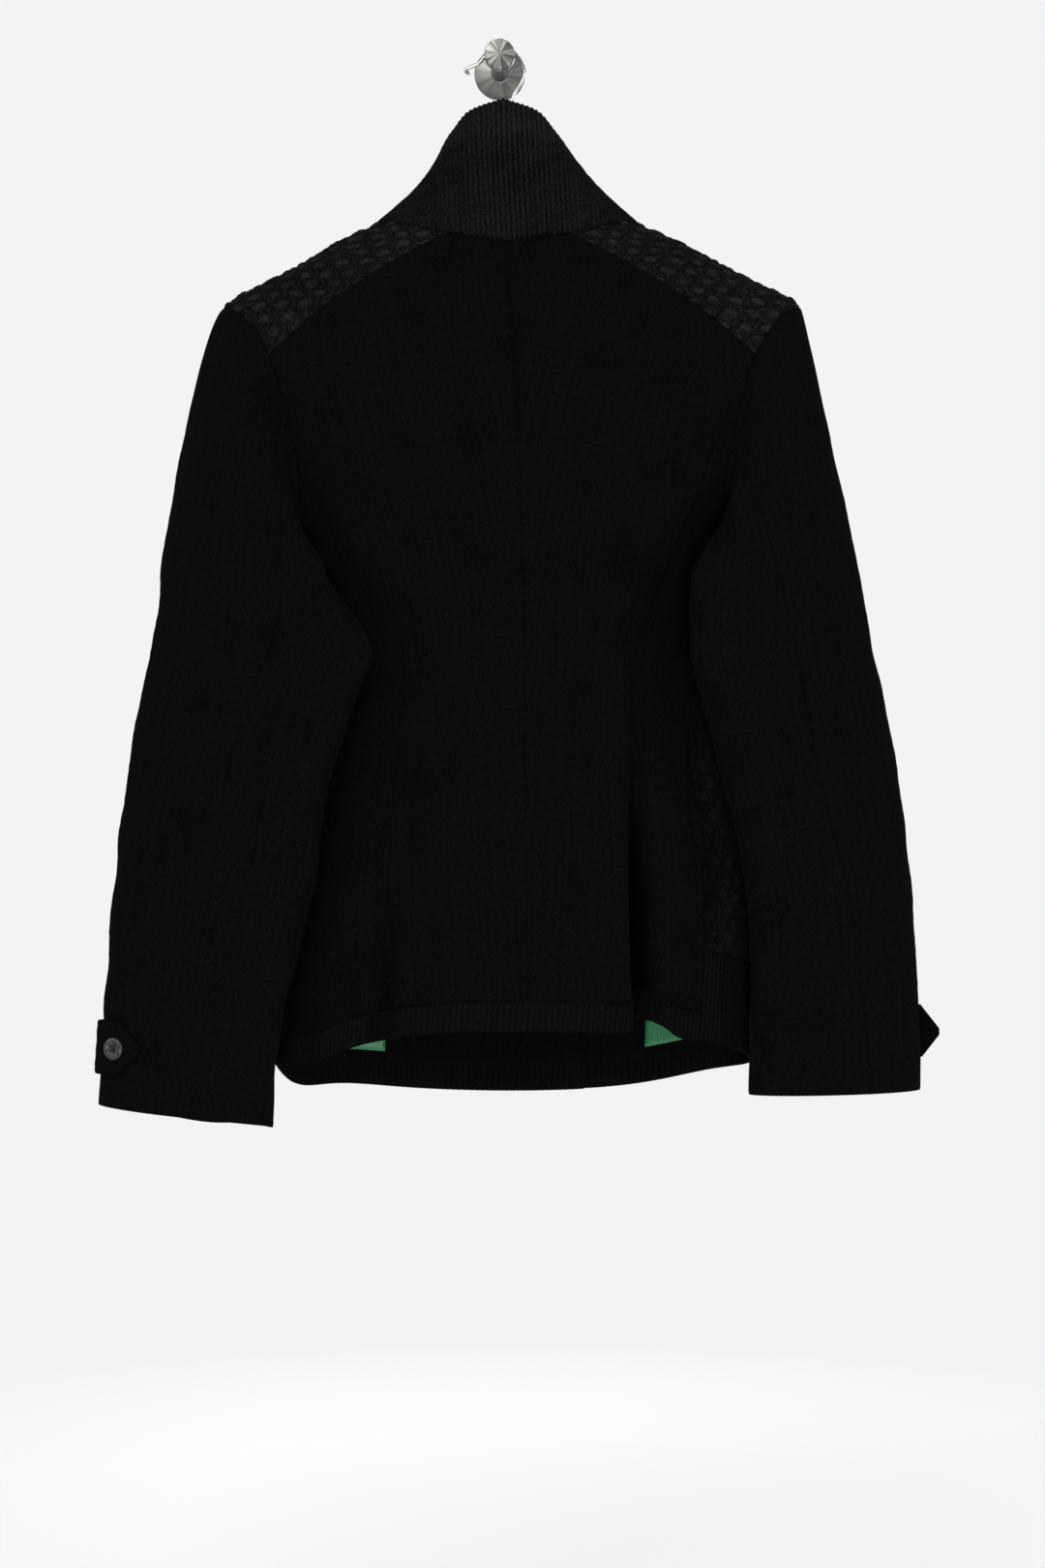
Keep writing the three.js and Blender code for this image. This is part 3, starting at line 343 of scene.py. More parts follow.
beech, tree, shader = new_material("stained_beech", Roughness=0.42)
place = add_node(tree, "ShaderNodeTexCoord").outputs["Object"]
grain_place = add_node(
    tree, "ShaderNodeMapping", {"Vector": place, "Scale": tuple(1000 / g for g in GRAIN_MM)}
)
grain = add_node(
    tree, "ShaderNodeTexNoise", {"Vector": grain_place.outputs[0], "Scale": 1.0, "Detail": 5.0}
)
stain = add_node(tree, "ShaderNodeValToRGB", {"Fac": grain.outputs["Fac"]})
stain.color_ramp.elements[0].color = linear("#2A1B12")
stain.color_ramp.elements[1].color = linear("#5A3B26")
stain.color_ramp.elements[0].position = 0.35
stain.color_ramp.elements[1].position = 0.7
tree.links.new(stain.outputs["Color"], shader.inputs["Base Color"])
pores = add_node(
    tree, "ShaderNodeBump", {"Height": grain.outputs["Fac"], "Strength": 0.2, "Distance": 0.0002}
)
tree.links.new(pores.outputs[0], shader.inputs["Normal"])
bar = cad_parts["hanger"]
bar.data.materials.clear()
bar.data.materials.append(beech)

# The backs are cut from a black boiled-wool knit, one piece each side of the centre seam. Boiling mats
# the loops into a dull, slightly fuzzy face, so light dies on it except at a low angle.
# The sizes are in millimetres, and the turns about the body in degrees from the centre back.
CLOTH = 2.0
SEAM_GAP = 0.02
SEAM_SINK = 0.5
SEAM_ROLL = 1.6
UNDERLAP = 4.2
UNDERLAP_START = 136
UNDERLAP_RUN = 20
BACK_BAND = 22
HEM_MIDDLE = -780
HEM_TILT = 28
YOKE_DROP = 0.5
WEDGE_ROWS = 8
SIDE_ROWS = 7
PRINCESS_HEAD_END = -405
PRINCESS_FOOT = -755
STITCH_MM = (1.7, 3.4)
WALE_MM = (3.0, 80)
FELT_MM = 1.1

BODY = {
    "z": [-820, -753, -650, -560, -463, -375, -330, -250, -205, -192, -180, -166, -148, -133, -120],
    "middle": [10, 12, 14, 11, 10, 10, 10, 10, 10, 10, 9, 9, 7, 6, 5],
    "half": [184, 184, 180, 165, 158, 177, 198, 222, 226, 218, 194, 166, 135, 102, 87],
    "axis": [-63, -62, -57, -51, -47, -55, -59, -60, -59, -58, -58, -58, -57, -57, -57],
    "back": [59, 60, 65, 68, 70, 64, 64, 63, 61, 59, 57, 54, 51, 48, 44],
    "front": [44, 43, 38, 32, 28, 36, 40, 41, 40, 39, 38, 37, 35, 32, 30],
}
NECK = ([0, 20, 45, 70, 90, 128, 145, 152, 162, 170, 180],
        [-156, -148.5, -139, -134, -133, -139, -150, -160, -172, -182, -188])
CENTRE_SEAM = ([-800, -727, -628, -540, -471, -421, -387, -349, -310, -285, -156],
               [21.6, 21.4, 20.7, 20, 19.3, 18.3, 17.5, 16.5, 15, 13.5, 4.6])
PRINCESS_LEVELS = [-800, -727, -628, -540, -471, -421, -387, -349, -310, -285]
PRINCESS = {
    "left": [-74, -74, -76.5, -83, -91, -102, -113, -131, -149, -161],
    "right": [114, 113, 108, 105, 111, 119, 132, 149, 163, 174],
}
SIDE_LEVELS = [-800, -672, -545, -450, -372]
SIDES = {"left": [-100, -100, -98, -94, -90], "right": [48, 52, 55, 72, 90]}
# side, turn past the princess seam, level, reach up and down, push out, width in degrees
FOLDS = [
    ("right", 0, -720, 150, -24, 3.0),
    ("right", -7, -560, 90, 3, 3.5),
    ("left", -5.5, -730, 90, -9, 3.2),
    ("left", 4, -590, 50, -2.5, 2.6),
    ("left", 12, -600, 110, 2.5, 4),
    ("right", -16, -640, 130, 2.5, 4.5),
]
FOLD_TOP = -440
# The share of the folds' inward push that becomes painted shade in the cloth's colour.
FOLD_SHADE = 0.35
# turn, rise of the lower edge, width in degrees
LIFTS = [(35, 12, 5), (-60, -13, 22), (-114, -9, 15), (124, 6, 22)]
ARMHOLE = {"side": 90, "level": -285, "half_turn": 36, "half_height": 87, "round": 2 / 3}
YOKE_CORNER = 67.5
PRINCESS_CORNER = 86
YOKE_NECK_TURN = {"back": 20, "front": 140}
YOKE_BOW = {"back": 7, "front": 4}
WAY = {"left": -1, "right": 1}

body = {name: smooth_curve(BODY["z"], BODY[name]) for name in BODY if name != "z"}
neck_height = smooth_curve(*NECK)
centre_x = smooth_curve(*CENTRE_SEAM)
princess_x = {side: smooth_curve(PRINCESS_LEVELS, PRINCESS[side]) for side in WAY}
side_turn = {side: smooth_curve(SIDE_LEVELS, SIDES[side]) for side in WAY}


def bell(distance, width):
    """1 at distance 0, falling off as e to the minus (distance / width) squared."""
    return np.exp(-((distance / width) ** 2))


def soft(share):
    """A smooth step: 3 s s - 2 s s s, with s kept from 0 to 1."""
    s = np.clip(share, 0, 1)
    return s * s * (3 - 2 * s)


def turn_at(x, z):
    """The turn at which the body's back has this x: arc sine of (x - middle) / half width."""
    return np.degrees(np.arcsin((x - body["middle"](z)) / body["half"](z)))


def princess_turn(side, z):
    """The princess seam's turn at a level."""
    return turn_at(princess_x[side](z), z)


def lap_in(turn):
    """Past a turn on the left, a soft step takes the left front in by one underlap, under the right."""
    return -UNDERLAP * soft((-turn - UNDERLAP_START) / UNDERLAP_RUN)


def fold_out(turn, z):
    """How far the folds push the surface out: a bell across each one's line, and a bell along it."""
    total = 0
    for side, shift, level, reach, push, width in FOLDS:
        at = princess_turn(side, np.minimum(z, FOLD_TOP)) + shift
        total = total + push * bell(turn - at, width) * bell(z - level, reach)
    return total


def body_point(turn, z):
    """An ellipse at each level, turned from the centre back, with the folds added to both half axes."""
    a = np.radians(turn)
    push = lap_in(turn) + fold_out(turn, z)
    depth = np.where(np.cos(a) > 0, body["back"](z), body["front"](z))
    x = body["middle"](z) + (body["half"](z) + push) * np.sin(a)
    y = body["axis"](z) - (depth + push) * np.cos(a)
    return np.stack([x, y, z + 0 * x], -1)


def way_out(point, u, v, du, dv):
    """The unit normal: the cross product of the surface's two chords across a small step."""
    cross = np.cross(point(u + du, v) - point(u - du, v), point(u, v + dv) - point(u, v - dv))
    return cross / np.linalg.norm(cross, axis=-1, keepdims=True)


def hem_height(turn):
    """The lower edge: a tilted ring, with a bell-shaped lift at each fold."""
    z = HEM_MIDDLE + HEM_TILT * np.cos(np.radians(turn))
    around = (turn + 180) % 360 - 180
    for at, up, width in LIFTS:
        z = z + up * bell(around - at, width)
    return z


def armhole(side, angle):
    """A rounded square loop about the side: sine and cosine raised to the 2/3, signs kept."""
    c, s = np.cos(np.radians(angle)), np.sin(np.radians(angle))
    power = ARMHOLE["round"]
    turn = ARMHOLE["side"] - ARMHOLE["half_turn"] * np.sign(s) * np.abs(s) ** power
    z = ARMHOLE["level"] + ARMHOLE["half_height"] * np.sign(c) * np.abs(c) ** power
    return np.stack([WAY[side] * turn, z], -1)


def joined(*runs):
    """Runs of places joined end to end, without the places that two of them share."""
    return np.concatenate([runs[0], *[run[1:] for run in runs[1:]]])


def spread(run, shares):
    """Places at those shares of a run's length in rows."""
    at = shares * (len(run) - 1)
    i = np.minimum(at.astype(int), len(run) - 2)
    s = (at - i)[:, None]
    return run[i] * (1 - s) + run[i + 1] * s


def armhole_run(side, start, end, count):
    """Places on the armhole between two angles."""
    return armhole(side, np.linspace(start, end, count + 1))


def neck_run(start, end, count):
    """Places on the neck seam between two turns."""
    turn = np.linspace(start, end, count + 1)
    return np.stack([turn, neck_height(np.abs(turn))], -1)


def hem_run(start, end, lift, shares):
    """Places a height above the lower edge, at shares of the way between two turns."""
    turn = start + (end - start) * shares
    return np.stack([turn, hem_height(turn) + lift], -1)


def princess_run(side, lift, fine):
    """Places down the princess seam from the armhole to a height above the hem."""
    head = armhole(side, PRINCESS_CORNER)
    foot = hem_height(princess_turn(side, PRINCESS_FOOT)) + lift
    z = joined(
        np.linspace(head[1], PRINCESS_HEAD_END, WEDGE_ROWS * fine + 1),
        np.linspace(PRINCESS_HEAD_END, foot, SIDE_ROWS * fine + 1),
    )
    turn = princess_turn(side, z)
    turn += (head[0] - turn[0]) * np.clip(1 - (head[1] - z) / 8, 0, 1) ** 2
    return np.stack([turn, z], -1)


def yoke_run(side, face, count):
    """Places down the yoke's seam from the neck to the armhole: a straight line with a slight bow."""
    way = WAY[side]
    neck_turn = YOKE_NECK_TURN[face]
    head = np.array([way * neck_turn, neck_height(neck_turn)])
    foot = armhole(side, YOKE_CORNER if face == "back" else 360 - YOKE_CORNER)
    s = np.linspace(0, 1, count + 1)
    z = head[1] + (foot[1] - head[1]) * s + YOKE_BOW[face] * np.sin(np.pi * s)
    ends = [body_point(*place)[0] for place in (head, foot)]
    turn = turn_at(ends[0] + (ends[1] - ends[0]) * s, z)
    return np.stack([turn if face == "back" else way * 180 - turn, z], -1)


def panel(left, right, bottom, top):
    """Coons patch: the blend of two borders, plus that of the other two, less that of the corners."""
    u = np.linspace(0, 1, len(bottom))[None, :, None]
    v = np.linspace(0, 1, len(left))[:, None, None]
    across = left[:, None] * (1 - u) + right[:, None] * u
    up = bottom[None] * (1 - v) + top[None] * v
    low = bottom[0] * (1 - u) + bottom[-1] * u
    high = top[0] * (1 - u) + top[-1] * u
    return across + up - low * (1 - v) - high * v


def lengths(points):
    """How far each point lies along its row and along its column, in millimetres."""
    u = np.linalg.norm(np.diff(points, axis=1), axis=2)
    v = np.linalg.norm(np.diff(points, axis=0), axis=2)
    u = np.concatenate([np.zeros((len(u), 1)), np.cumsum(u, axis=1)], 1)
    v = np.concatenate([np.zeros((1, v.shape[1])), np.cumsum(v, axis=0)], 0)
    return u, v


def uneven(u, v, size, seed):
    """Soft random swells of about that size: nine sine waves in random directions, divided by 3."""
    dice = np.random.default_rng(seed)
    total = 0
    for _ in range(9):
        angle, phase = dice.uniform(0, 2 * np.pi, 2)
        k = 2 * np.pi / (size * dice.uniform(0.7, 1.7))
        total = total + np.sin(k * (u * np.cos(angle) + v * np.sin(angle)) + phase)
    return total / 3


def swells(points, size, seed):
    """The same swells by place, x + 1.3 y and z, so that they run on across the seams."""
    return uneven(points[..., 0] + 1.3 * points[..., 1], points[..., 2], size, seed)


def cloth_wall(
    name, points, out, material, relief=0.0,
    thick=CLOTH, lift=0.0, sink=SEAM_SINK, within=0.0, shade=0.0,
):
    """A closed wall. Its outer face is the surface raised by the relief and rolled in at the border. Its
    inner face lies one thickness and the relief within further in, at every second row and column. The
    shade is painted shade: it is added to the relief that the material reads, and darkens the colour."""
    u, v = lengths(points)
    to_border = np.minimum(np.minimum(u, u[:, -1:] - u), np.minimum(v, v[-1:] - v))
    inside = points.copy()
    half = SEAM_GAP / 2
    for edge, next_in in (
        ((0, slice(None)), (1, slice(None))),
        ((-1, slice(None)), (-2, slice(None))),
        ((slice(None), 0), (slice(None), 1)),
        ((slice(None), -1), (slice(None), -2)),
    ):
        step = points[next_in] - points[edge]
        inside[edge] += half * step / np.linalg.norm(step, axis=-1, keepdims=True)
    raised = np.broadcast_to(relief - sink * bell(to_border, SEAM_ROLL), u.shape)
    outer = inside + out * (lift + raised)[..., None]
    inner_relief = np.broadcast_to(within, u.shape)
    inner = (inside + out * (lift - thick - inner_relief)[..., None])[::2, ::2]
    rows, columns = u.shape
    r, c = inner.shape[:2]
    o = np.arange(rows * columns).reshape(rows, columns)
    n = rows * columns + np.arange(r * c).reshape(r, c)

    def quads(g, flip):
        faces = np.stack([g[:-1, :-1], g[:-1, 1:], g[1:, 1:], g[1:, :-1]], -1).reshape(-1, 4)
        return (faces[:, ::-1] if flip else faces).tolist()

    def rim(o_edge, n_edge, flip):
        faces = np.stack([o_edge[:-1:2], o_edge[1::2], o_edge[2::2], n_edge[1:], n_edge[:-1]], -1)
        return (faces[:, ::-1] if flip else faces).tolist()

    i, j = rows // 2, columns // 2
    side = np.cross(points[i, j + 1] - points[i, j], points[i + 1, j] - points[i, j])
    inward = bool(np.dot(side, out[i, j]) < 0)
    faces = quads(o, inward) + quads(n, not inward)
    faces += rim(o[0], n[0], not inward) + rim(o[-1], n[-1], inward)
    faces += rim(o[:, 0], n[:, 0], inward) + rim(o[:, -1], n[:, -1], not inward)
    places = np.concatenate([outer.reshape(-1, 3), inner.reshape(-1, 3)])
    flat = np.stack([u - u[:, [columns // 2]], v], -1)
    uv = np.concatenate([flat.reshape(-1, 2), flat[::2, ::2].reshape(-1, 2)])
    heights = np.concatenate([(raised + shade).ravel(), inner_relief[::2, ::2].ravel()])
    return mesh_piece(name, places, faces, material, uv, heights)


def cut(piece, node):
    """Hides the node that the cloth piece stands for, and hangs the piece from the root. It reads the
    piece's UV map and the areas of its faces, but does nothing with them. The flat size is the reach
    of its UV map, and the area is half that of all its faces, or the whole flat size if that is less."""
    layer = np.zeros(len(piece.data.loops) * 2)
    piece.data.uv_layers["cloth"].data.foreach_get("uv", layer)
    areas = np.zeros(len(piece.data.polygons))
    piece.data.polygons.foreach_get("area", areas)
    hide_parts(node)
    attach(piece, "root")


def wool_knit(name, dark, light, stitch, felt, depth, furrow):
    """Black wool: loops drawn out along the cloth's UV map under matted fibres. The colour goes between
    two near-blacks with both, with columns of loops and with a drift over a few centimetres. Painted
    shade darkens it by the furrow's third value as the relief goes down from its second height to its
    first, for the shade in furrows, pits and folds. Sheen stands for loose fibres, and the depth in
    metres is that of the loops' bump."""
    material, tree, shader = new_material(
        name, Roughness=0.9, Specular_IOR_Level=0.015, Sheen_Weight=0.012, Sheen_Roughness=0.4
    )
    shader.inputs["Sheen Tint"].default_value = linear("#B9B9B9")
    cloth_uv = add_node(tree, "ShaderNodeUVMap", uv_map="cloth").outputs["UV"]
    loops_place = add_node(
        tree,
        "ShaderNodeMapping",
        {"Vector": cloth_uv, "Scale": (1000 / stitch[0], 1000 / stitch[1], 1)},
    )
    loops = add_node(
        tree,
        "ShaderNodeTexNoise",
        {"Vector": loops_place.outputs[0], "Scale": 1.0, "Detail": 2.0, "Roughness": 0.6},
    )
    wale_place = add_node(
        tree,
        "ShaderNodeMapping",
        {"Vector": cloth_uv, "Scale": tuple(1000 / mm for mm in (*WALE_MM, 1))},
    )
    wales = add_node(
        tree, "ShaderNodeTexNoise", {"Vector": wale_place.outputs[0], "Scale": 1.0, "Detail": 2.0}
    )
    place = add_node(tree, "ShaderNodeTexCoord").outputs["Object"]
    fibres = add_node(
        tree, "ShaderNodeTexNoise", {"Vector": place, "Scale": 1000 / felt, "Detail": 4.0}
    )
    drift = add_node(tree, "ShaderNodeTexNoise", {"Vector": place, "Scale": 26.0, "Detail": 3.0})
    mixed = add_node(
        tree, "ShaderNodeMath", {0: loops.outputs["Fac"], 1: fibres.outputs["Fac"]}, operation="ADD"
    )
    streaked = add_node(
        tree,
        "ShaderNodeMath",
        {0: wales.outputs["Fac"], 1: 0.35, 2: mixed.outputs[0]},
        operation="MULTIPLY_ADD",
    )
    speckle = add_node(
        tree,
        "ShaderNodeMath",
        {0: drift.outputs["Fac"], 1: 0.35, 2: streaked.outputs[0]},
        operation="MULTIPLY_ADD",
    )
    # Painted shade: the colour darkens where the relief attribute is low, in furrows, pits and folds.
    height = add_node(tree, "ShaderNodeAttribute", attribute_name="relief")
    shade = add_node(
        tree,
        "ShaderNodeMapRange",
        {
            "Value": height.outputs["Fac"],
            "From Min": furrow[0],
            "From Max": furrow[1],
            "To Min": -furrow[2],
            "To Max": 0.0,
        },
    )
    dimmed = add_node(
        tree, "ShaderNodeMath", {0: speckle.outputs[0], 1: shade.outputs[0]}, operation="ADD"
    )
    tone = add_node(
        tree,
        "ShaderNodeMapRange",
        {"Value": dimmed.outputs[0], "From Min": 0.25, "From Max": 1.6, "To Min": 0.0, "To Max": 1.0},
    )
    colours = add_node(tree, "ShaderNodeValToRGB", {"Fac": tone.outputs[0]})
    colours.color_ramp.elements[0].color = linear(dark)
    colours.color_ramp.elements[0].position = 0.3
    colours.color_ramp.elements[1].color = linear(light)
    colours.color_ramp.elements[1].position = 1.0
    middle = colours.color_ramp.elements.new(0.6)
    middle.color = tuple(np.sqrt(np.array(linear(dark)) * np.array(linear(light))))
    tree.links.new(colours.outputs["Color"], shader.inputs["Base Color"])
    bump = add_node(
        tree, "ShaderNodeBump", {"Height": mixed.outputs[0], "Strength": 0.6, "Distance": depth}
    )
    tree.links.new(bump.outputs[0], shader.inputs["Normal"])
    return material


# Painted shade darkens the plain knit's colour in its deepest folds and creases.
plain_knit = wool_knit(
    "boiled_wool_knit", "#020202", "#0D0D0D", STITCH_MM, FELT_MM, 0.0005, (-7, -2.4, 1.0)
)


def body_cloth(name, grid, material, relief=0.0, **shape):
    """A wall on the body over a grid of turns and levels, with painted shade by a share of its folds'
    depth.
    """
    turn, z = grid[..., 0], grid[..., 1]
    out = way_out(body_point, turn, z, 0.2, 0.4)
    shade = FOLD_SHADE * np.minimum(fold_out(turn, z), 0)
    return cloth_wall(name, body_point(turn, z), out, material, relief, shade=shade, **shape)


def creases(rows, along, z):
    """Soft troughs and ridges: each a bell across its line, which leans, and a bell along it."""
    total = 0
    for at, level, lean, width, reach, push in rows:
        total = total + push * bell(along - at - lean * (z - level), width) * bell(z - level, reach)
    return total


# turn, level, lean in degrees a millimetre, width in degrees, reach up and down, push out
BACK_CREASES = [
    (-14, -330, 0.10, 6, 40, -0.9), (-8, -365, 0.06, 5, 34, 0.8), (18, -340, -0.12, 6, 44, -0.9),
    (26, -380, -0.08, 5, 36, 0.8), (-22, -455, 0.03, 5, 26, -0.8), (2, -520, 0.02, 4, 60, -0.5),
    (12, -600, 0.0, 5, 70, 0.8), (-12, -640, 0.01, 5, 80, -0.8), (24, -690, -0.01, 4, 60, -0.7),
    (-6, -720, 0.0, 4, 50, 0.6), (36, -470, 0.05, 5, 30, -0.9), (-34, -300, 0.1, 5, 30, -1.0),
    (40, -300, -0.1, 5, 30, -1.0),
]
BACK_FINE = 14


def drape(grid):
    """The body cloth's own unevenness: broad slack swells and small ones of the matted face."""
    points = body_point(grid[..., 0], grid[..., 1])
    return 0.4 * swells(points, 60, 4) + 0.12 * swells(points, 9, 5)


for side in WAY:
    princess = princess_run(side, BACK_BAND, BACK_FINE)
    corner = armhole_run(side, YOKE_CORNER, PRINCESS_CORNER, 2 * BACK_FINE)
    outer_seam = joined(corner, princess)[::-1]
    foot_turn = turn_at(centre_x(PRINCESS_FOOT), PRINCESS_FOOT)
    foot = hem_height(foot_turn) + BACK_BAND
    levels = np.linspace(foot, neck_height(0), len(outer_seam))
    centre = np.stack([turn_at(centre_x(levels), levels), levels], -1)
    shares = 1 - (1 - np.linspace(0, 1, 97)) ** 1.5
    bottom = hem_run(centre[0, 0], outer_seam[0, 0], BACK_BAND, shares)
    yoke = yoke_run(side, "back", 100)
    along = joined(neck_run(centre[-1, 0], yoke[0, 0], 30), yoke)
    top = spread(along, shares) - np.array([0, YOKE_DROP])
    bottom[-1], bottom[0], top[0] = outer_seam[0], centre[0], centre[-1]
    top[-1] = outer_seam[-1]

    grid = panel(centre, outer_seam, bottom, top)
    relief = creases(BACK_CREASES, grid[..., 0], grid[..., 1]) + drape(grid)
    piece = body_cloth(f"back_panel_{side}", grid, plain_knit, relief)
    cut(piece, f"back_{side}")

# The side backs run from the curved princess seam round to the side seam, in the same knit. The cloth
# is taken up at the waist, so a long fold stands along each princess seam.
SIDE_FINE = 14
# turn, level, lean in degrees a millimetre, width in degrees, reach up and down, push out
SIDE_CREASES = [
    (50, -430, 0.0, 6, 70, -6.0), (-57, -390, 0.0, 6, 60, -5.0), (44, -600, 0.02, 3, 60, 0.8),
    (-48, -640, 0.02, 5, 90, 1.2), (-66, -560, 0.0, 6, 80, -1.2),
]
for side in WAY:
    princess = princess_run(side, BACK_BAND, SIDE_FINE)[::-1]
    under = armhole_run(side, 90, 180, WEDGE_ROWS * SIDE_FINE)
    hem = hem_height(side_turn[side](HEM_MIDDLE))
    levels = joined(
        np.linspace(ARMHOLE["level"] - ARMHOLE["half_height"], hem + 70, 6 * SIDE_FINE + 1),
        np.linspace(hem + 70, hem + BACK_BAND, SIDE_FINE + 1),
    )
    outer_seam = joined(under, np.stack([side_turn[side](levels), levels], -1))[::-1]
    shares = np.linspace(0, 1, 65) ** 1.4
    bottom = hem_run(princess[0, 0], outer_seam[0, 0], BACK_BAND, shares)
    bottom[0], bottom[-1] = princess[0], outer_seam[0]
    top = princess[-1] + (outer_seam[-1] - princess[-1]) * shares[:, None]

    grid = panel(princess, outer_seam, bottom, top)
    relief = creases(SIDE_CREASES, grid[..., 0], grid[..., 1]) + drape(grid)
    piece = body_cloth(f"side_back_panel_{side}", grid, plain_knit, relief)
    cut(piece, f"side_back_{side}")

# The fronts are a bobble knit of black wool: soft raised tufts in staggered rows, each a few loops
# bunched together. Light catches their tops, painted shade darkens the pits between them, and they are
# worn flat by the side seam. The right front laps over the left one by twice FRONT_LAP.
FRONT_LAP = 57
FRONT_HEAD_TURN = 194
FRONT_CURVE = {"level": -330, "run": 130}
FRONT_WORN = {"width": 26, "top": -400, "run": 30}
FRONT_RIB = 70
BOBBLE_STITCH_MM = (2.2, 3.0)
BOBBLE_FELT_MM = 1.5
BOBBLE_PITCH = (15, 12)
BOBBLE_RADIUS = (5.8, 5.0)
BOBBLE_HEIGHT = 2.4
BOBBLE_GROUND = 0.9

front_knit = wool_knit(
    "wool_front_knit", "#030303", "#161616", BOBBLE_STITCH_MM, BOBBLE_FELT_MM, 0.0012, (-0.7, 1, 0.45)
)


def bobbles(grid, seed):
    """Domes of 1 - r r to the 0.6 about two staggered sets of centres, each in a furrow that the ground
    rises out of. The grid is swayed and each height is changed by soft random swells."""
    u, v = lengths(body_point(grid[..., 0], grid[..., 1]))
    u = u + 1.6 * uneven(u, v, 38, seed)
    v = v + 1.4 * uneven(u, v, 42, seed + 1)
    across, up = BOBBLE_PITCH
    r = 9.0
    for shift in (0.0, 0.5):
        du = (u / across + shift) % 1 - 0.5
        dv = (v / (2 * up) + shift) % 1 - 0.5
        r = np.minimum(r, np.hypot(du * across / BOBBLE_RADIUS[0], dv * 2 * up / BOBBLE_RADIUS[1]))
    dome = np.clip(1 - r * r, 0, 1) ** 0.6 * (0.85 + 0.2 * uneven(u, v, 14, seed + 2))
    ground = BOBBLE_GROUND * soft((r - 1) / 0.3)
    return BOBBLE_HEIGHT * dome + ground + 0.25 * uneven(u, v, 3.2, seed + 3)


def lap_turn(side, z):
    """The front edge's turn: the half ring, and past it the lap's width on the ellipse."""
    past = np.degrees(np.arcsin(FRONT_LAP / body["half"](z)))
    return WAY[side] * (180 + past)


FRONT_FINE = 20
for side in WAY:
    way = WAY[side]
    hem = hem_height(side_turn[side](HEM_MIDDLE))
    levels = np.linspace(ARMHOLE["level"] - ARMHOLE["half_height"], hem + FRONT_RIB, 6 * FRONT_FINE + 1)
    outer_seam = joined(
        armhole_run(side, 360 - YOKE_CORNER, 180, 10 * FRONT_FINE),
        np.stack([side_turn[side](levels), levels], -1),
    )[::-1]
    yoke = yoke_run(side, "front", 100)[::-1]
    neck = neck_run(yoke[-1, 0], way * 180, 60)
    head_turn = way * FRONT_HEAD_TURN
    head = np.array([[way * 180, neck_height(180)], [head_turn, neck_height(180)]])
    along = joined(yoke, neck, spread(head, np.linspace(0, 1, 11)))
    top = spread(along, np.linspace(0, 1, 181))
    levels = np.linspace(
        hem_height(lap_turn(side, HEM_MIDDLE)) + FRONT_RIB, neck_height(180), len(outer_seam)
    )
    edge_turn = lap_turn(side, levels)
    curved_in = soft((levels - FRONT_CURVE["level"]) / FRONT_CURVE["run"])
    edge = np.stack([edge_turn + (head_turn - edge_turn) * curved_in, levels], -1)
    bottom = hem_run(outer_seam[0, 0], edge[0, 0], FRONT_RIB, np.linspace(0, 1, 181))
    bottom[0], bottom[-1], top[0], top[-1] = outer_seam[0], edge[0], outer_seam[-1], edge[-1]

    grid = panel(outer_seam, edge, bottom, top)
    from_seam, _ = lengths(body_point(grid[..., 0], grid[..., 1]))
    below = soft((FRONT_WORN["top"] - grid[..., 1]) / FRONT_WORN["run"])
    worn_flat = (1 - soft(from_seam / FRONT_WORN["width"])) * below
    relief = bobbles(grid, 20) * (1 - worn_flat) + drape(grid) * worn_flat
    piece = body_cloth(f"front_panel_{side}", grid, front_knit, relief)
    cut(piece, f"front_{side}")

# The yokes carry the same bobble knit over the shoulders, a little paler than on the fronts. Its tufts
# lie in rows from the collar out, and make the shoulder's outline uneven.
YOKE_FINE = 8
YOKE_RELIEF_BASE = -1.0

# Painted shade darkens the pits between the tufts, as on the fronts.
bobble_knit = wool_knit(
    "wool_bobble_knit", "#040404", "#2A2A2A", BOBBLE_STITCH_MM, BOBBLE_FELT_MM, 0.0012, (-0.7, 1, 0.37)
)
for side in WAY:
    way = WAY[side]
    back = spread(yoke_run(side, "back", 160), np.linspace(0, 1, 145))
    front = spread(yoke_run(side, "front", 160), np.linspace(0, 1, 145))
    neck = neck_run(way * YOKE_NECK_TURN["back"], way * YOKE_NECK_TURN["front"], 12 * YOKE_FINE)
    arm = armhole_run(side, YOKE_CORNER, -YOKE_CORNER, 12 * YOKE_FINE)
    grid = panel(neck, arm, back, front)
    relief = bobbles(grid, 30) + YOKE_RELIEF_BASE
    piece = body_cloth(f"yoke_panel_{side}", grid, bobble_knit, relief)
    cut(piece, f"yoke_{side}")

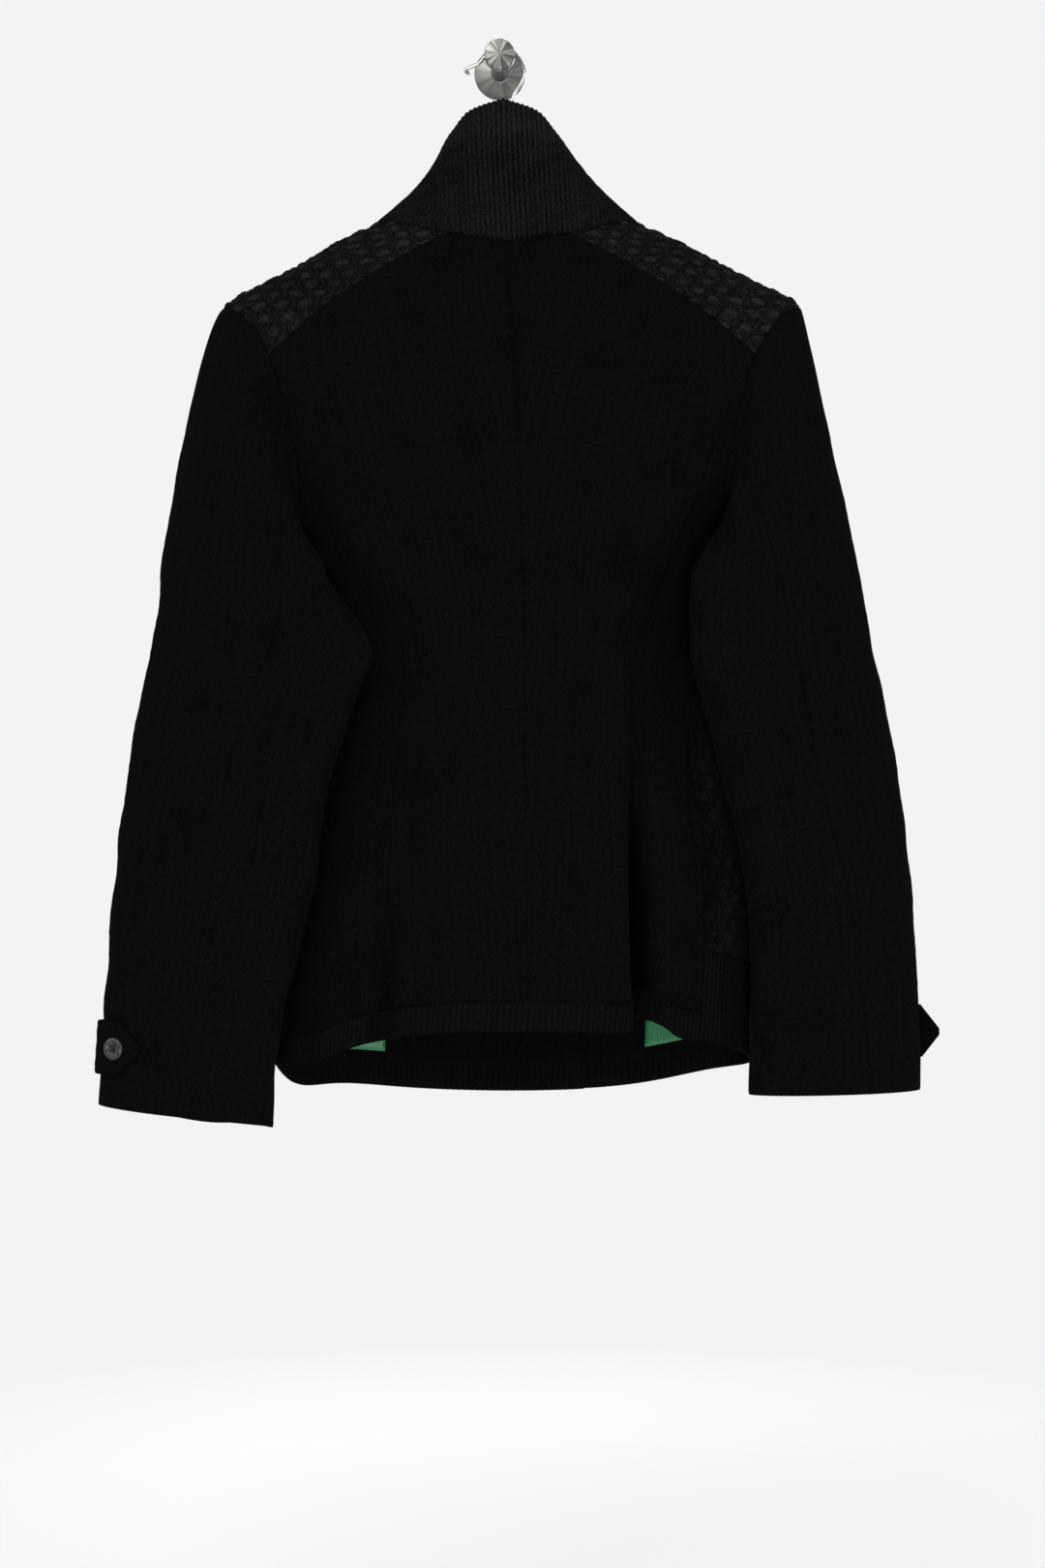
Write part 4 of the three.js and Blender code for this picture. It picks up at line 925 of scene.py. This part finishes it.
# The sleeves are two pieces each, an upper and an under one, sewn down the back and the front of the
# arm. They hang limp from the shoulder, with slack creases at the elbow.
SLEEVE_LEVELS = [-820, -768, -706, -650, -600, -550, -500, -463, -410]
SLEEVE = {
    "left": {
        "outer": [-306, -302, -299.5, -296, -291, -285, -277, -270, -263],
        "inner": [-171, -168, -155, -141, -134, -124, -107, -96, -129],
        "axis": [-98, -98, -96, -94, -92, -91, -88, -88, -87],
        "half": [25, 26, 27, 27, 27, 26, 24, 23, 28],
        "twist": [3, 4, 7, 9, 10, 12, 14, 17, 23],
        "seam": [88, 88, 89, 90, 90, 91, 91, 96, 116],
    },
    "right": {
        "outer": [321, 321, 319, 316, 311, 305, 296, 288, 280],
        "inner": [189, 190, 191, 188, 179, 166, 153, 144, 145],
        "axis": [-95, -94, -92, -90, -88, -87, -88, -90, -90],
        "half": [26, 27, 28, 28, 28, 28, 27, 27, 28],
        "twist": [2, 3, 5, 7, 8, 9, 11, 15, 22],
        "seam": [68, 70, 75, 79, 83, 86, 84, 81, 90],
    },
}
FRONT_SLEEVE_SEAM = 250
SLEEVE_SEAMS = {"back": 101.25, "front": 236.25}
SLEEVE_HEAD = -410
RING_TURN = 42
CAP_LEAD = {"left": 0.28, "right": 0.03, "foot": 0.9}
SECTION_SHEAR = 0.35
# level, rise at the outer edge, rise of the inner corner
CUFF = {"left": (-819, 9.5, 3), "right": (-800.5, 2, 12)}
CUFF_CORNER = {"angle": 185, "width": 24}
# ring angle, level, lean in degrees a millimetre, width in degrees, reach up and down, push out
SLEEVE_CREASES = {
    "left": [
        (70, -560, 0.25, 9, 14, -2.2), (50, -585, 0.3, 9, 13, 1.6), (95, -600, -0.2, 10, 16, -1.8),
        (60, -640, 0.3, 10, 16, -1.4), (40, -480, 0.3, 12, 22, 1.8), (75, -455, 0.25, 10, 20, -2.2),
        (100, -500, -0.3, 10, 24, -1.6), (30, -700, 0.15, 10, 30, 1.2), (110, -720, 0.1, 10, 36, -1.2),
        (20, -560, 0.2, 12, 26, -1.6),
    ],
    "right": [
        (60, -700, 0.35, 9, 12, -2.6), (85, -715, 0.35, 9, 12, 1.8), (50, -560, -0.25, 10, 18, -2.0),
        (90, -585, 0.2, 10, 18, 1.4), (70, -470, 0.3, 12, 24, -2.2), (40, -440, 0.25, 12, 24, 1.6),
        (100, -640, 0.2, 10, 20, -1.6), (110, -520, -0.2, 12, 26, -1.8), (30, -640, 0.2, 10, 24, 1.2),
        (20, -540, 0.2, 12, 26, -1.4),
    ],
}
SLEEVE_SHARED_CREASES = [
    (250, -600, 0.3, 12, 20, -2.2), (280, -640, -0.3, 12, 20, 1.8), (300, -540, 0.3, 14, 24, -2.0),
    (320, -470, -0.2, 14, 30, -2.0), (60, -770, 0.1, 9, 20, -0.8),
]
sleeve = {
    side: {name: smooth_curve(SLEEVE_LEVELS, rows) for name, rows in SLEEVE[side].items()}
    for side in WAY
}


def ring_angle(section_angle):
    """The ring's angle whose turned place is this section angle, by repeated substitution."""
    angle = section_angle
    for _ in range(12):
        angle = section_angle - RING_TURN * np.sin(np.radians(angle) / 2) ** 2
    return angle


def sleeve_section(side, ring, z):
    """An ellipse at each level, sheared by its twist, which starts at the sleeve's outer edge. The
    ring's angle is led on by RING_TURN times the sine squared of its half."""
    t = sleeve[side]
    angle = np.radians(ring + RING_TURN * np.sin(np.radians(ring) / 2) ** 2)
    twist = np.radians(t["twist"](z))
    reach = np.abs(t["outer"](z) - t["inner"](z)) / 2 / np.cos(twist)
    along, across = reach * np.cos(angle), t["half"](z) * np.sin(angle)
    x = (t["outer"](z) + t["inner"](z)) / 2 + WAY[side] * (
        along * np.cos(twist) - across * np.sin(twist) * SECTION_SHEAR
    )
    y = t["axis"](z) + along * np.sin(twist) - across * np.cos(twist)
    return np.stack([x, y, z + 0 * x], -1)


def sleeve_point(side, angle, run):
    """Run 0 to 1 is the cap, a cubic from the armhole to the first section. Run 1 to 2 goes down the
    sections to the cuff."""
    level, slope, corner = CUFF[side]
    foot = level + slope * np.cos(np.radians(angle))
    foot = foot + corner * bell(angle % 360 - CUFF_CORNER["angle"], CUFF_CORNER["width"])
    down = sleeve_section(side, angle, SLEEVE_HEAD + (foot - SLEEVE_HEAD) * np.clip(run - 1, 0, 1.2))
    start = body_point(*np.moveaxis(armhole(side, angle), -1, 0))
    end = sleeve_section(side, angle, SLEEVE_HEAD + 0 * angle)
    gap = np.linalg.norm(end - start, axis=-1, keepdims=True)
    below = ((1 - np.cos(np.radians(angle))) / 2)[..., None]
    lead = np.concatenate([WAY[side] * (0.9 + 0.08 * below), 0 * below, -0.45 + 0.25 * below], -1)
    s = np.clip(run, 0, 1)[..., None]
    top, foot_lead = CAP_LEAD[side], CAP_LEAD["foot"]
    bend = s * s * (3 - 2 * s)
    cap = start * (1 - bend) + end * bend
    cap += lead * s * (1 - s) ** 2 * (top + (foot_lead - top) * below**2) * gap
    cap[..., 2:] += s * s * (1 - s) * gap * (top + (foot_lead - top) * below)
    cap += lead * (1.6 + 2.4 * below) * SEAM_GAP * (1 - s)
    return np.where(np.asarray(run)[..., None] >= 1, down, cap)


def sleeve_way_out(side, angle, run):
    """The sleeve's unit normal, which starts as the body's at the armhole."""
    def point(a, r):
        return sleeve_point(side, a, np.maximum(0, r))

    normal = way_out(point, angle, run, 0.5, 0.004) * WAY[side]
    places = np.moveaxis(armhole(side, angle), -1, 0)
    start = way_out(body_point, *places, 0.2, 0.4)
    share = np.clip(np.asarray(run) / 0.06, 0, 1)[..., None]
    mixed = start * (1 - share) + normal * share
    return mixed / np.linalg.norm(mixed, axis=-1, keepdims=True)


SLEEVE_RUNS = np.concatenate([np.linspace(0, 1, 81), 1 + np.linspace(0, 1, 145)[1:]])
for side in WAY:
    runs = SLEEVE_RUNS
    seam_level = SLEEVE_HEAD + (CUFF[side][0] - SLEEVE_HEAD) * np.clip(runs - 1, 0, 1)
    start_share = soft(runs)
    back_seam = SLEEVE_SEAMS["back"] * (1 - start_share) + start_share * ring_angle(
        sleeve[side]["seam"](seam_level)
    )
    front_seam = SLEEVE_SEAMS["front"] * (1 - start_share) + start_share * ring_angle(FRONT_SLEEVE_SEAM)
    for part, start, end, columns in (
        ("upper", front_seam - 360, back_seam, 97),
        ("under", back_seam, front_seam, 65),
    ):
        angle = start[:, None] + (end - start)[:, None] * np.linspace(0, 1, columns)
        run = np.repeat(runs[:, None], columns, 1)
        points = sleeve_point(side, angle, run)
        away = soft((run - 0.15) / 0.5) * soft((2.02 - run) / 0.2)
        rows = SLEEVE_CREASES[side] + SLEEVE_SHARED_CREASES
        relief = creases(rows, angle % 360, points[..., 2])
        relief = (relief + 0.6 * swells(points, 48, 11) + 0.12 * swells(points, 9, 12)) * away
        out = sleeve_way_out(side, angle, run)
        piece = cloth_wall(f"sleeve_{part}_panel_{side}", points, out, plain_knit, relief, sink=0.3)
        cut(piece, f"sleeve_{part}_{side}")

# Each cuff has a pointed tab, a doubled strap of the same knit that a button holds to the sleeve. The
# left tab wraps round to the back, and the right one's tip stands off the sleeve's outer edge.
TAB_HALF_HEIGHT = 20
TAB_POINT = 0.8
TAB_ARCH = 34
CLOTH_CLEAR = 0.6
TABS = {
    "left": dict(level=-766, start=-34, end=58, leaves=1, stand=2.4, tip=(0, 0), button=0.76, facing=1),
    "right": dict(
        level=-755, start=-100, end=-32, leaves=0.62, stand=0, tip=(24, -14), button=0.4, facing=-1
    ),
}


def tab_point(side, along, across):
    """A strap on the sleeve's sections, raised on a bell round the outer edge. Past its leaving place
    it goes straight on, and past TAB_POINT it narrows to its tip."""
    tab = TABS[side]
    wide = np.where(along < TAB_POINT, 1, 1 - 0.88 * (along - TAB_POINT) / (1 - TAB_POINT))
    z = tab["level"] + (across - 0.5) * 2 * TAB_HALF_HEIGHT * wide
    on_sleeve = np.minimum(along, tab["leaves"]) / tab["leaves"]
    place = tab["start"] + (tab["end"] - tab["start"]) * on_sleeve
    angle = ring_angle(place)
    point = sleeve_section(side, angle, z)
    out = way_out(lambda a, level: sleeve_section(side, a, level), angle, z, 0.5, 0.5) * -WAY[side]
    point = point + out * (CLOTH_CLEAR + tab["stand"] * bell(place, TAB_ARCH))[..., None]
    free = np.clip(along - tab["leaves"], 0, 1) / max(1 - tab["leaves"], 0.01)
    point[..., 0] += tab["tip"][0] * free
    point[..., 1] += tab["tip"][1] * free
    return point


def tab_out(side, along, across):
    """The tab's unit normal away from the sleeve."""
    return TABS[side]["facing"] * way_out(
        lambda a, b: tab_point(side, a, b), along, across, 0.01, 0.01
    )


for side in WAY:
    along, across = np.meshgrid(np.linspace(0, 1, 81), np.linspace(0, 1, 33))
    points = tab_point(side, along, across)
    u, v = lengths(points)
    to_edge = np.minimum(v, v[-1:] - v)
    relief = -0.35 * bell(to_edge - 4.5, 0.7) + 0.15 * uneven(u, v, 14, 40)
    piece = cloth_wall(
        f"cuff_tab_strap_{side}", points, tab_out(side, along, across), plain_knit, relief, lift=CLOTH
    )
    cut(piece, f"cuff_tab_{side}")

# The buttons are cast polyester resin in smoky grey, with a raised rim and four holes in a hollow
# centre, sewn on with black thread. Polish gives each one small sharp highlight.
# radius, thickness
BUTTON_SIZES = {"cuff": (8.5, 2.6), "front": (11.0, 3.0)}
FRONT_BUTTON_LEVELS = [-235, -345, -455, -565]
HOLE_AWAY = 2.3
HOLE_RADIUS = 1.05
THREAD_RADIUS = 0.5
MARBLE_MM = 7

resin, tree, shader = new_material("polyester_resin_button", Roughness=0.28, Coat_Weight=0.3)
place = add_node(tree, "ShaderNodeTexCoord").outputs["Object"]
cloud = add_node(
    tree,
    "ShaderNodeTexNoise",
    {"Vector": place, "Scale": 1000 / MARBLE_MM, "Detail": 4.0, "Distortion": 1.5},
)
smoke = add_node(tree, "ShaderNodeValToRGB", {"Fac": cloud.outputs["Fac"]})
smoke.color_ramp.elements[0].color = linear("#1E1F22")
smoke.color_ramp.elements[0].position = 0.35
smoke.color_ramp.elements[1].color = linear("#303236")
smoke.color_ramp.elements[1].position = 0.68
tree.links.new(smoke.outputs["Color"], shader.inputs["Base Color"])
thread_black, _, _ = new_material("polyester_thread", Base_Color=linear("#0C0C0D"), Roughness=0.6)


def button(name, node, seat, normal, radius, thick):
    """A polar height field on a seat: a rounded rim, a hollow inside 0.6 of the radius, and four pits
    for the holes. The lower face is flat. Two threads cross the hollow from hole to hole."""
    r = radius * np.linspace(0, 1, 40) ** 0.8
    a = np.linspace(0, 2 * np.pi, 64, endpoint=False)
    share = r / radius
    top = thick * np.sqrt(np.clip(1 - ((share - 0.8) / 0.2).clip(0, 1) ** 2 * 0.9, 0, 1))
    top = top - 0.32 * thick * soft((0.66 - share) / 0.12)
    x, y = r[:, None] * np.cos(a), r[:, None] * np.sin(a)
    height = np.repeat(top[:, None], 64, 1)
    for quarter in range(4):
        turn = np.radians(45 + 90 * quarter)
        away = np.hypot(x - HOLE_AWAY * np.cos(turn), y - HOLE_AWAY * np.sin(turn))
        height = height - 0.5 * thick * soft((HOLE_RADIUS * 1.25 - away) / (HOLE_RADIUS * 0.5))
    rows = np.concatenate([np.stack([x, y, height], -1), np.stack([x, y, 0 * x], -1)[::-1]])
    z_axis = normal / np.linalg.norm(normal)
    x_axis = np.cross((0, 0, 1), z_axis)
    x_axis /= np.linalg.norm(x_axis)
    axes = np.stack([x_axis, np.cross(z_axis, x_axis), z_axis])
    placed = rows @ axes + seat
    piece = face_out(mesh_piece(name, placed.reshape(-1, 3), ring_faces(len(rows), 64), resin))
    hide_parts(node)
    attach(piece, "root")
    for k, start in enumerate((45, 135)):
        ends = [
            np.array([HOLE_AWAY * np.cos(np.radians(t)), HOLE_AWAY * np.sin(np.radians(t)), 0])
            for t in (start, start + 180)
        ]
        rise = thick * (0.84 + 0.1 * k)
        route = [
            ends[0] + (0, 0, thick * 0.35),
            ends[0] * 0.8 + (0, 0, rise),
            ends[1] * 0.8 + (0, 0, rise),
            ends[1] + (0, 0, thick * 0.35),
        ]
        placed = tube(route, THREAD_RADIUS, 24, 8) @ axes + seat
        stitch = face_out(
            mesh_piece(f"{name}_thread_{k + 1}", placed.reshape(-1, 3), ring_faces(24, 8), thread_black)
        )
        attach(stitch, "root")


for side in WAY:
    spot = np.array(TABS[side]["button"]), np.array(0.5)
    normal = tab_out(side, *spot)
    seat = tab_point(side, *spot) + normal * (CLOTH + SEAM_GAP)
    button(f"cuff_button_resin_{side}", f"cuff_button_{side}", seat, normal, *BUTTON_SIZES["cuff"])
for i, level in enumerate(FRONT_BUTTON_LEVELS):
    spot = np.array(180.0), np.array(float(level))
    normal = way_out(body_point, *spot, 0.2, 0.4)
    seat = body_point(*spot) + normal * SEAM_GAP
    button(f"front_button_resin_{i + 1}", f"front_button_{i + 1}", seat, normal, *BUTTON_SIZES["front"])

# The back hem is a narrow band of fine rib, and each front ends in a deep rib of the same wool. A rib
# is a column of plain loops that stands forward of the columns of purl loops beside it, so its crown is
# lit and its sides are not, and painted shade darkens the furrows between the ribs. Below the facing
# the ribs show on the inner face too.
BAND_RIB_MM = 3.4
FRONT_RIB_MM = 3.8
RIB_HEIGHT = 0.9
RIB_TUCK = 0.3
RIB_SAMPLES = 8
FACING_FOOT = 20

rib_knit = wool_knit("wool_rib_knit", "#040404", "#101010", (1.9, 2.6), 1.2, 0.0004, (-0.2, 0.7, 0.25))


def ribs(count, columns):
    """Rounded ridges: half of 1 + cosine, to the 0.7, so the furrows are narrower than the ridges."""
    phase = np.linspace(0, 2 * np.pi * count, columns)
    return RIB_HEIGHT * (0.5 - 0.5 * np.cos(phase)) ** 0.7


def turn_above_hem(edge, height):
    """The turn of an edge at a height above the hem, by repeated substitution."""
    turn = edge(HEM_MIDDLE + 0 * height)
    for _ in range(4):
        turn = edge(hem_height(turn) + height)
    return turn


def strip_grid(start, end, columns, low, high, rows):
    """Turns and levels between two turns, each given by level, from one height above the hem on."""
    v = np.linspace(0, 1, rows)[:, None]
    height = low + (high - low) * v
    first = turn_above_hem(start, height)
    last = turn_above_hem(end, height)
    turn = first + (last - first) * np.linspace(0, 1, columns)
    return np.stack([turn, hem_height(turn) + height], -1)


def ribbed_strip(name, start, end, pitch, low, high, rows):
    """A ribbed wall round the lower edge, with a whole number of ribs of about that pitch. Its top is
    tucked a little under the panels. Below the facing its inner face has the ribs as well."""
    grid = strip_grid(start, end, 9, low, high, 3)
    u, _ = lengths(body_point(grid[..., 0], grid[..., 1]))
    count = int(round(u[1, -1] / pitch))
    columns = count * RIB_SAMPLES + 1
    grid = strip_grid(start, end, columns, low, high, rows)
    bare = soft((FACING_FOOT - np.linspace(low, high, rows)) / 4 + 0.5)[:, None]
    turned_in = (RIB_HEIGHT - ribs(count, columns)) * bare
    return body_cloth(name, grid, rib_knit, ribs(count, columns), sink=0.3, within=turned_in)


piece = ribbed_strip(
    "hem_band_rib", side_turn["left"], side_turn["right"], BAND_RIB_MM, 0, BACK_BAND + RIB_TUCK, 9
)
cut(piece, "hem_band_back")
for side in WAY:
    def lapped(z, side=side):
        return lap_turn(side, HEM_MIDDLE) + 0 * z

    piece = ribbed_strip(
        f"front_rib_band_{side}", side_turn[side], lapped, FRONT_RIB_MM, 0, FRONT_RIB + RIB_TUCK, 17
    )
    cut(piece, f"front_rib_{side}")

# Inside the fronts lie a facing of the same black knit along each edge and, beyond it, an emerald
# lining of satin-woven acetate. Its long floats give it a soft gloss, and are drawn coarser than real
# ones so that they show.
FACING_TOP = 69
FACING_TURN = 146
FACING_EDGE_TURN = 22
LINING_TURN = 106
LINING_FOOT = {"left": 27, "right": 28}
LINING_CLOTH = 1.0
FLOAT_MM = 1.2

satin, tree, shader = new_material(
    "acetate_satin_lining", Roughness=0.38, Sheen_Weight=0.2, Sheen_Roughness=0.3
)
cloth_uv = add_node(tree, "ShaderNodeUVMap", uv_map="cloth").outputs["UV"]
float_place = add_node(
    tree,
    "ShaderNodeMapping",
    {
        "Vector": cloth_uv,
        "Scale": (1000 / FLOAT_MM, 1000 / FLOAT_MM / 6, 1),
        "Rotation": (0, 0, 0.5),
    },
)
floats = add_node(
    tree, "ShaderNodeTexNoise", {"Vector": float_place.outputs[0], "Scale": 1.0, "Detail": 2.0}
)
green = add_node(tree, "ShaderNodeValToRGB", {"Fac": floats.outputs["Fac"]})
green.color_ramp.elements[0].color = linear("#125F34")
green.color_ramp.elements[0].position = 0.3
green.color_ramp.elements[1].color = linear("#20824E")
green.color_ramp.elements[1].position = 0.7
tree.links.new(green.outputs["Color"], shader.inputs["Base Color"])
weave = add_node(
    tree, "ShaderNodeBump", {"Height": floats.outputs["Fac"], "Strength": 0.3, "Distance": 0.0001}
)
tree.links.new(weave.outputs[0], shader.inputs["Normal"])
for side in WAY:
    way = WAY[side]
    edge = lap_turn(side, HEM_MIDDLE) + 1 if side == "left" else 180 - FACING_EDGE_TURN
    for part, start, end, lowest, material, slot_name in (
        ("facing", way * FACING_TURN, edge, FACING_FOOT, plain_knit, "plain_knit"),
        ("lining", way * LINING_TURN, way * FACING_TURN, LINING_FOOT[side], satin, "green_lining"),
    ):
        grid = strip_grid(lambda z: start + 0 * z, lambda z: end + 0 * z, 65, lowest, FACING_TOP, 25)
        slack = -0.2 - 0.2 * swells(body_point(grid[..., 0], grid[..., 1]), 22, 50)
        piece = body_cloth(
            f"{part}_strip_{side}",
            grid,
            material,
            slack,
            thick=LINING_CLOTH,
            lift=-CLOTH - 2 * SEAM_GAP,
            sink=0.2,
        )
        cut(piece, f"{part}_{side}")

# The collar is a tall band of the rib, sewn to the neck and lapped at the front. It narrows upward in
# a hollow curve while its ribs stand upright, with painted shade in the furrows between them. Its top
# edge leans inward at the back, and painted shade on the cloth below that rim makes the rim look lit.
COLLAR_TOP = {"middle": 3, "half": 45.5, "axis": -54, "depth": 30}
COLLAR_RIM = ([0, 36, 56, 90, 130, 180], [-38, -47, -59, -72, -78, -80])
COLLAR_RIB_COUNT = 108
COLLAR_LAP_TURN = 22
COLLAR_FLARE = {"left": 0.15, "right": 0.08}
COLLAR_RIB_MM = 3.9
COLLAR_RIB_HEIGHT = 1.2
COLLAR_LEAN = 14
COLLAR_LEAN_START = 0.7
COLLAR_PAINTED_SHADE_BELOW_RIM = -0.5
rim_height = smooth_curve(*COLLAR_RIM)

collar_knit = wool_knit(
    "wool_collar_knit", "#040404", "#242424", (1.9, 2.6), 1.2, 0.0004, (-0.6, 1.1, 0.45)
)


def collar_point(turn, rise):
    """Between the neck seam and the rim: straight in height, while the width closes in early by a sine
    of the rise."""
    around = np.where(np.abs(turn) > 180, 360 - np.abs(turn), np.abs(turn))
    a = np.radians(turn)
    foot = body_point(turn, neck_height(around))
    foot[..., 2] += SEAM_GAP * (1 + 2.5 * (1 - np.cos(a)))
    lapped = lap_in(turn)
    x = COLLAR_TOP["middle"] + (COLLAR_TOP["half"] + lapped) * np.sin(a)
    y = COLLAR_TOP["axis"] - (COLLAR_TOP["depth"] + lapped) * np.cos(a)
    top = np.stack([x, y, rim_height(around)], -1)
    flare = COLLAR_FLARE["left"] + (COLLAR_FLARE["right"] - COLLAR_FLARE["left"]) * (1 + np.sin(a)) / 2
    share = (rise + flare * np.sin(np.pi * rise))[..., None]
    point = foot + (top - foot) * share
    point[..., 2] = foot[..., 2] + (top[..., 2] - foot[..., 2]) * rise
    lean = np.clip((rise - COLLAR_LEAN_START) / (1 - COLLAR_LEAN_START), 0, 1) ** 1.5
    point[..., 1] += COLLAR_LEAN * lean * np.clip(np.cos(a), 0, 1)
    return point


columns = COLLAR_RIB_COUNT * RIB_SAMPLES + 1
turn, rise = np.meshgrid(
    np.linspace(-180 - COLLAR_LAP_TURN, 180 + COLLAR_LAP_TURN, columns), np.linspace(0, 1, 33)
)
points = collar_point(turn, rise)
u, v = lengths(points)
from_back = u - u[:, columns // 2, None]
upright = (0.5 + 0.5 * np.cos(2 * np.pi * from_back / COLLAR_RIB_MM)) ** 0.7
relief = COLLAR_RIB_HEIGHT * upright + 0.1 * uneven(u, v, 30, 60)
# Painted shade on the collar below its leaning rim, so that the rim looks lit.
painted_shade_below_rim = COLLAR_PAINTED_SHADE_BELOW_RIM * soft((COLLAR_LEAN_START + 0.1 - rise) / 0.15)
out = way_out(collar_point, turn, rise, 0.3, 0.004)
piece = cloth_wall("collar_rib", points, out, collar_knit, relief, shade=painted_shade_below_rim)
cut(piece, "collar")
